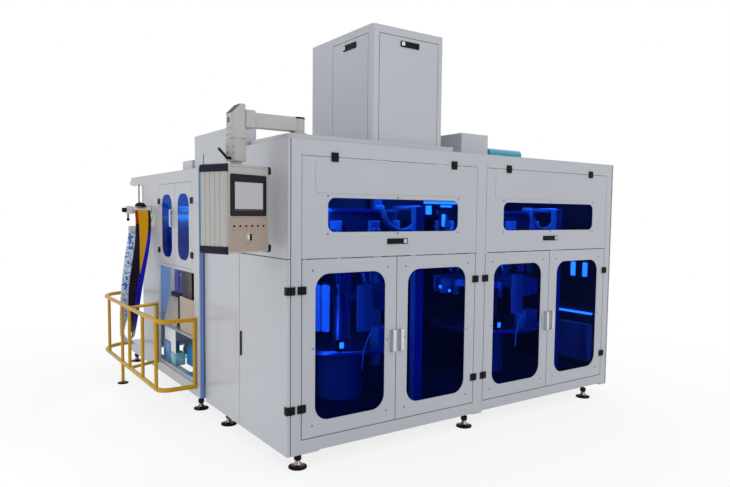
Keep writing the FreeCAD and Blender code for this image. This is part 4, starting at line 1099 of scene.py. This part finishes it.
def pouch(bm, frame_on, depth):
    full = outline(POUCH_WIDTH, POUCH_HEIGHT, 9)
    inner = outline(POUCH_WIDTH - 2 * RIM, POUCH_HEIGHT - 2 * RIM, 7)
    skin(bm, layered(frame_on, ((full, 0.8), (full, 1.3), (inner, depth))))
    ridge = frame_on @ Matrix.Translation((0, ZIPPER_UP * MM, 0))
    plate(bm, ridge, POUCH_WIDTH - 2 * RIM, 4, depth + 0.7, 1.5, 0.5)


def pouch_stack(bm):
    low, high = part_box("bag_stack")
    shuffle = random.Random(4)
    depth = (high.x - low.x) / MM / POUCH_COUNT
    for i in range(POUCH_COUNT):
        y = (low.y + high.y) / 2 + shuffle.uniform(-1.8, 1.8) * MM
        z = low.z + MM * (POUCH_HEIGHT / 2 + shuffle.uniform(0.3, 2.2))
        pouch(bm, facing((high.x - i * depth * MM, y, z), LEFT), depth)


def ramp(tree, value, **limits):
    """Map Range node: a value moved from one range to another."""
    node = tree.nodes.new("ShaderNodeMapRange")
    for label, limit in limits.items():
        node.inputs[label.replace("_", " ")].default_value = limit
    link(tree, value, node.inputs["Value"])
    return node.outputs["Result"]


def pouch_film():
    material, tree, surface = new_material("pouch_film")
    parts = tree.nodes.new("ShaderNodeSeparateXYZ")
    link(tree, object_place(tree), parts.inputs[0])
    blue = mix_colour(tree, noise(tree, object_place(tree), 7.0, 1.0), srgb(10, 10, 80), srgb(22, 26, 160))
    printed = ramp(tree, parts.outputs["Y"], From_Min=at(0, DARK_TO, 0).y, From_Max=at(0, BLUE_FROM, 0).y)
    link(tree, mix_colour(tree, printed, srgb(22, 14, 12), blue), surface.inputs["Base Color"])
    film_gloss(tree, surface, 0.2)
    return material


stack = add_piece("pouch_stack", "root", [pouch_film()], pouch_stack)
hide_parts("bag_stack")

# %% [markdown]
# ## Gear on the carousels
#
# What glints behind the blue panes is small bright gear: air cylinders that hang from the drum,
# valve blocks on its side, filling funnels over the grippers and curved pipes on top. A few small
# plates among them glow as painted highlights. It is made as one mesh for each carousel from
# loops over the ten stations, because a turned or stamped part that repeats is cheap that way,
# and the polished faces catch the working lights.

# %% Cylinders, valve blocks, funnels and pipes
polished = steel("polished_steel", srgb(226, 230, 236), roughness=0.16, lines=60.0, depth=0.02)
STATIONS = 10
DRUM_UNDER = 1387.5
CYLINDER_REACH, VALVE_REACH, FUNNEL_REACH = 432, 446, 350
CYLINDER_LENGTH, FUNNEL_FOOT = 262, 1150


# Plates in this finish glow though they are no lamps: painted highlights behind the blue panes.
def make_painted_highlight():
    material, tree, surface = new_material("painted_highlight_strip")
    surface.inputs["Base Color"].default_value = srgb(235, 245, 250)
    surface.inputs["Emission Color"].default_value = srgb(225, 245, 255)
    surface.inputs["Emission Strength"].default_value = 7.0
    return material


painted_highlight_strip = make_painted_highlight()


def tube(bm, points, radius, steps=12, finish=0):
    """Round pipe along a smooth row of points in millimetres."""
    rings = []
    for before, point, after in zip([points[0]] + points, points, points[1:] + [points[-1]]):
        axis = (Vector(after) - Vector(before)).normalized()
        side = (facing(at(*point), axis, (0.13, 0.21, 0.97)).to_3x3() @ Vector((1, 0, 0))).normalized()
        other = axis.cross(side)
        circle = (radius_point(radius, i / steps) for i in range(steps))
        rings.append([at(*point) + MM * (side * x + other * y) for x, y in circle])
    skin(bm, rings, finish, True)


def bend(start, corner, end, count=14):
    """Smooth bent line from start to end that leans on a corner."""
    a, b, c = Vector(start), Vector(corner), Vector(end)
    shares = (i / count for i in range(count + 1))
    return [tuple(a * (1 - t) ** 2 + b * 2 * t * (1 - t) + c * t * t) for t in shares]


def moulded_box(bm, low, high, radius, finish=0):
    """Box with rounded upright corners and a soft rim, in millimetres."""
    width, depth, height = (high[i] - low[i] for i in range(3))
    base = facing(at((low[0] + high[0]) / 2, (low[1] + high[1]) / 2, low[2]), (0, 0, 1), (0, 1, 0))
    full = outline(width, depth, radius, 6)
    rings = [(full, 0), (full, height - radius / 2)]
    for i in range(1, 5):
        a = math.radians(90 * i / 4)
        inset = radius / 2 * (1 - math.cos(a))
        rim = outline(width - 2 * inset, depth - 2 * inset, radius - inset, 6)
        rings.append((rim, height - radius / 2 * (1 - math.sin(a))))
    skin(bm, layered(base, rings), finish, True)


def about(axis_x, angle, distance, height):
    """Point round a carousel's axis, and the level direction outward there."""
    out = level_direction(angle)
    return Vector((axis_x, AXIS_Y, height)) + out * distance, out


def station_gear(bm, axis_x, angle):
    """Air cylinder with a black collar, valve block with two ports, and funnel with its hose."""
    foot, out = about(axis_x, angle, CYLINDER_REACH, DRUM_UNDER - CYLINDER_LENGTH)
    upright = facing(at(*foot), (0, 0, 1), out)
    spin(bm, upright, ((0, 0), (7, 0), (7, 40), (16, 41), (16, 238), (20, 240), (20, 262)), 14, 0)
    spin(bm, upright, ((20.6, 238), (20.6, 262)), 14, 1)
    block = about(axis_x, angle, VALVE_REACH, 1552)[0]
    plate(bm, facing(at(*block), out), 88, 150, 44, 8, 4, 2)
    ports = facing(at(*about(axis_x, angle, VALVE_REACH + 43, 1560)[0]), out)
    for side in (-24, 24):
        spin(bm, ports @ Matrix.Translation((side * MM, 0, 0)), ((11, 0), (11, 16), (7, 18), (7, 28)), 12, 0)
    funnel = facing(at(*about(axis_x, angle, FUNNEL_REACH, FUNNEL_FOOT)[0]), (0, 0, 1), out)
    spin(bm, funnel, ((22, 0), (22, 60), (60, 150), (62, 150), (62, 154), (24, 64), (24, 0)), 20, 0)
    hose = [about(axis_x, angle, distance, height)[0]
            for distance, height in ((FUNNEL_REACH, 1300), (FUNNEL_REACH, 1345), (395, DRUM_UNDER))]
    tube(bm, bend(*hose), 7, 8, 1)


RETURN_FRONT, RETURN_LEVEL, RETURN_RADIUS, RETURN_OFFSET = 292, 1728, 178, 262
GUARD_TURNS, GUARD_REACH, GUARD_HEIGHT = (-104, -97, 218, 226), 500, 982
# Turn in degrees, distance, height, width and tallness of each glowing plate, a painted highlight
BAY_STRIPS = ((168, 462, 1625, 52, 112), (171, 498, 1012, 34, 24), (186, 498, 990, 26, 22))


def return_pipe(bm, axis_x):
    """Pale pipe that dips in a half circle before the drum."""
    middle = axis_x + RETURN_OFFSET
    path = [(middle - RETURN_RADIUS, y, RETURN_LEVEL) for y in (380, 345, 312)]
    for x, drop in (radius_point(RETURN_RADIUS, i / 48) for i in range(25)):
        path.append((middle - x, RETURN_FRONT, RETURN_LEVEL - drop))
    path += [(middle + RETURN_RADIUS, y, RETURN_LEVEL) for y in (312, 400, 500, 640)]
    tube(bm, path, 21, 14, 2)


def fixed_gear(bm, axis_x):
    """Return pipe, guard plates, post, valve box, hose and glowing strips, painted highlights, of one
    carousel.
    """
    return_pipe(bm, axis_x)
    for turn in GUARD_TURNS:
        place, out = about(axis_x, math.radians(turn), GUARD_REACH, GUARD_HEIGHT)
        plate(bm, facing(at(*place), out), 64, 350, 5, 12, 2, 2)
    plate(bm, facing(at(axis_x + 380, 272, 972), FRONT), 84, 1530, 60, 6, 3, 2)
    moulded_box(bm, (axis_x + 60, 300, 667), (axis_x + 230, 430, 815), 20, 2)
    hose = bend((axis_x - 20, 252, 812), (axis_x - 120, 244, 740), (axis_x - 126, 243, 520))
    tube(bm, hose, 7, 10, 2)
    moulded_box(bm, (axis_x - 285, 318, 667), (axis_x - 235, 372, 745), 10, 1)
    plate(bm, facing(at(axis_x - 260, 317, 712), FRONT), 34, 44, 4, 5, 1.5, 3)
    for turn, distance, height, wide, tall in BAY_STRIPS:
        place, out = about(axis_x, math.radians(turn), distance, height)
        plate(bm, facing(at(*place), out), wide, tall, 8, 4, 1.5, 3)


def carousel_gear(number, axis_x, turn):
    def build(bm):
        for i in range(STATIONS):
            station_gear(bm, axis_x, turn + math.tau * (i + 0.5) / STATIONS)
        fixed_gear(bm, axis_x)
    finishes = [polished, fitting_black, plate_light, painted_highlight_strip]
    add_piece(f"carousel_{number}_gear", "root", finishes, build)


for number, (axis_x, turn) in enumerate(zip(BAY_MIDDLES, (0.0, math.pi / STATIONS)), 1):
    carousel_gear(number, axis_x, turn)

# %% [markdown]
# ## Glowing strips and a ledge on the inner walls
#
# On the right wall, inside the folded panel, sit two upright strips and a ledge that glow as
# painted highlights, with a pale access cover below the ledge, and three more glowing strips are
# on the rear wall. Behind the blue pane the glowing strips turn cyan, which is the only colour
# besides blue that shows there.

# %% Glowing strips, ledge and cover
WALL_X = 3374.0
# Place along the front, height, width and tallness
REAR_STRIPS = ((2535, 1800, 440, 22), (2380, 1722, 70, 84), (2620, 1764, 150, 16))


def wall_gear(bm):
    for y in (268, 405):
        plate(bm, facing(at(WALL_X, y, 1160), LEFT), 66, 150, 8, 6, 2, 0)
        plate(bm, facing(at(WALL_X - 8, y, 1160), LEFT), 50, 134, 5, 5, 2, 1)
    plate(bm, facing(at(WALL_X, 410, 738), LEFT), 470, 16, 26, 3, 2, 1)
    plate(bm, facing(at(WALL_X, 360, 450), LEFT), 390, 370, 12, 40, 4, 0)
    for x, z, wide, tall in REAR_STRIPS:
        plate(bm, facing(at(x, 1464, z), FRONT), wide + 16, tall + 16, 8, 6, 2, 0)
        plate(bm, facing(at(x, 1456, z), FRONT), wide, tall, 5, 4, 1.5, 1)


add_piece("wall_gear", "root", [plate_light, painted_highlight_strip], wall_gear)

# %% [markdown]
# ## Dark insides
#
# Behind the panes the cabinet is dim. Its inner walls are given a near-black slate, painted shade
# that makes the lit gear stand out. The same sheet has both colours, so each face that looks
# towards the middle of the room gets the painted shade. The station's far wall is blue, and the
# bow handle by the work opening is pale steel on black brackets.

# %% Painted inner shade, the far wall and the bow handle
# Near-black coat on the inner faces: painted shade inside the closed cabinet.
inner_painted_shade = coat("inner_painted_shade", srgb(24, 26, 36), roughness=0.5, dust=0.05, edge=0.1)
far_wall = coat("far_wall_blue", srgb(104, 128, 170), roughness=0.25, clear=0.3, dust=0.05)
bow_steel = coat("bow_steel", srgb(196, 198, 202), roughness=0.3)
ROOM_MIDDLE = at(1690, 760, 1100)
TOWARDS_LEAST = 0.1
FAR_WALL_FROM = at(0, 3000, 0).y
BOW_LOW, BOW_HIGH = at(-75, 2128, 1495), at(-38.5, 2196, 1745)


def looks_inward(face):
    return face.normal.dot((ROOM_MIDDLE - face.center).normalized()) > TOWARDS_LEAST


def is_far_wall(face):
    return face.normal.y < -0.9 and face.center.y > FAR_WALL_FROM


def coat_more(name, material, chooser):
    """Gives a further finish to the faces of a node that the chooser accepts."""
    mesh = nodes[name].data
    mesh.materials.append(material)
    chosen = [face for face in mesh.polygons if chooser(face)]
    for face in chosen:
        face.material_index = len(mesh.materials) - 1
    print(name, "has", material.name, "on", len(chosen), "faces")


for name in ("rear_panels", "right_panels", "left_panels", "machine_bed", "roof"):
    coat_more(name, inner_painted_shade, looks_inward)
coat_more("station_side_panels", far_wall, is_far_wall)
choose(nodes["latches"], [fitting_black, bow_steel],
       lambda middle: all(BOW_LOW[i] < middle[i] < BOW_HIGH[i] for i in range(3)))

# %% [markdown]
# ## Gear housing under the table
#
# Low in the work opening a teal moulded cover and a paler, lower one beside it stand in front of
# the blue gear housing. Both have well rounded edges, and two bolts hold the taller one from above.

# %% Moulded covers and bolts
cover_teal = coat("cover_teal", srgb(30, 118, 178), roughness=0.3, clear=0.4, dust=0.05)
cover_pale = coat("cover_pale", srgb(112, 180, 192), roughness=0.3, clear=0.4, dust=0.05)


def drive_cover(bm):
    moulded_box(bm, (-14, 2392, 236), (90, 2600, 440), 26)
    moulded_box(bm, (-12, 2258, 236), (100, 2382, 352), 22, 1)
    for y in (2430, 2560):
        spin(bm, facing(at(38, y, 440), (0, 0, 1), (1, 0, 0)), ((9, 0), (9, 8), (6, 10)), 12, 1)


add_piece("drive_cover", "root", [cover_teal, cover_pale], drive_cover)

# %% [markdown]
# ## Cap and handle on the film roller
#
# A black domed cap presses the film onto the upper roller, and a short black handle hangs from
# the roller's end. Both are turned plastic, so each is a profile spun about an upright axis.

# %% Turned cap and handle
ROLLER_Y, ROLLER_TOP = 2834.0, 1725.5


def roller_clamps(bm):
    upright = facing(at(-150, ROLLER_Y, ROLLER_TOP), (0, 0, 1), (1, 0, 0))
    spin(bm, upright, ((52, 0), (52, 8), (45, 24), (30, 36), (0, 42)), 28)
    hanging = facing(at(-268, ROLLER_Y, 1655), (0, 0, -1), (1, 0, 0))
    spin(bm, hanging, ((8, 0), (8, 44), (14, 48), (15, 62), (9, 70), (0, 72)), 16)


add_piece("roller_clamps", "root", [fitting_black], roller_clamps)

# %% [markdown]
# ## What shows behind the station's doors
#
# The two slim panes look onto the far wall. A dark lower lining, a pale feed roller and a ledge
# stand before it, so the panes show bands of azure over deep blue. A single pouch hangs in front
# of the pale side plate.

# %% Lining, roller, ledge and hanging pouch
lining_blue = coat("lining_blue", srgb(64, 72, 140), roughness=0.5, dust=0.0)
FEED_ROLLER = ((30, 0), (30, 20), (58, 22), (58, 1000), (30, 1002), (30, 1040))


def station_inner_gear(bm):
    plate(bm, facing(at(620, 3196, 1350), FRONT), 1080, 330, 6, 20, 2, 0)
    spin(bm, facing(at(60, 2900, 1600), (1, 0, 0), (0, 0, 1)), FEED_ROLLER, 28, 1)
    for x in (56, 1088):
        plate(bm, facing(at(x, 2900, 1600), LEFT), 120, 170, 12, 12, 2, 0)
    plate(bm, facing(at(330, 2560, 1700), FRONT), 420, 60, 12, 6, 2, 1)


def hanging_pouch(bm):
    plate(bm, facing(at(112, 2545, 1010), LEFT), 130, 230, 5, 8, 2)


add_piece("station_inner_gear", "root", [lining_blue, plate_light], station_inner_gear)
add_piece("hanging_pouch", "root", [pouch_blue], hanging_pouch)

# %% [markdown]
# ## Floor
#
# The machine stands on a plain pale floor. The camera sees it almost white, but the shadow
# under the cabinet stays, because that is what sets the machine on the ground. The white grows
# with the distance from the machine, so no horizon shows.

# %% Pale floor
FLOOR_SIZE = 40.0
FLOOR_COLOUR = (0.82, 0.83, 0.84, 1)
NEAR, FAR, NEAR_WHITE = 2.6, 6.5, 0.8


def floor_paint():
    material, tree, surface = new_material("pale_floor")
    surface.inputs["Base Color"].default_value = FLOOR_COLOUR
    surface.inputs["Roughness"].default_value = 0.7
    white = tree.nodes.new("ShaderNodeEmission")
    away = tree.nodes.new("ShaderNodeVectorMath")
    away.operation = "LENGTH"
    link(tree, object_place(tree), away.inputs[0])
    fade = ramp(tree, away.outputs["Value"], From_Min=NEAR, From_Max=FAR, To_Min=NEAR_WHITE, To_Max=1.0)
    mix = tree.nodes.new("ShaderNodeMixShader")
    link(tree, math_node(tree, "MULTIPLY", seen_ray(tree), fade), mix.inputs["Fac"])
    link(tree, surface.outputs[0], mix.inputs[1])
    link(tree, white.outputs[0], mix.inputs[2])
    link(tree, mix.outputs[0], tree.nodes["Material Output"].inputs["Surface"])
    return material


half = FLOOR_SIZE / 2
floor_mesh = bpy.data.meshes.new("floor")
floor_corners = [(-half, -half, 0), (half, -half, 0), (half, half, 0), (-half, half, 0)]
floor_mesh.from_pydata(floor_corners, [], [(0, 1, 2, 3)])
floor_mesh.materials.append(floor_paint())
floor = bpy.data.objects.new("floor", floor_mesh)
bpy.context.scene.collection.objects.link(floor)
print("floor", FLOOR_SIZE, "m square")

# %% [markdown]
# ## Finish
#
# The dressed machine has to keep the size of the solid one.

# %% The end
print("scene dressed")
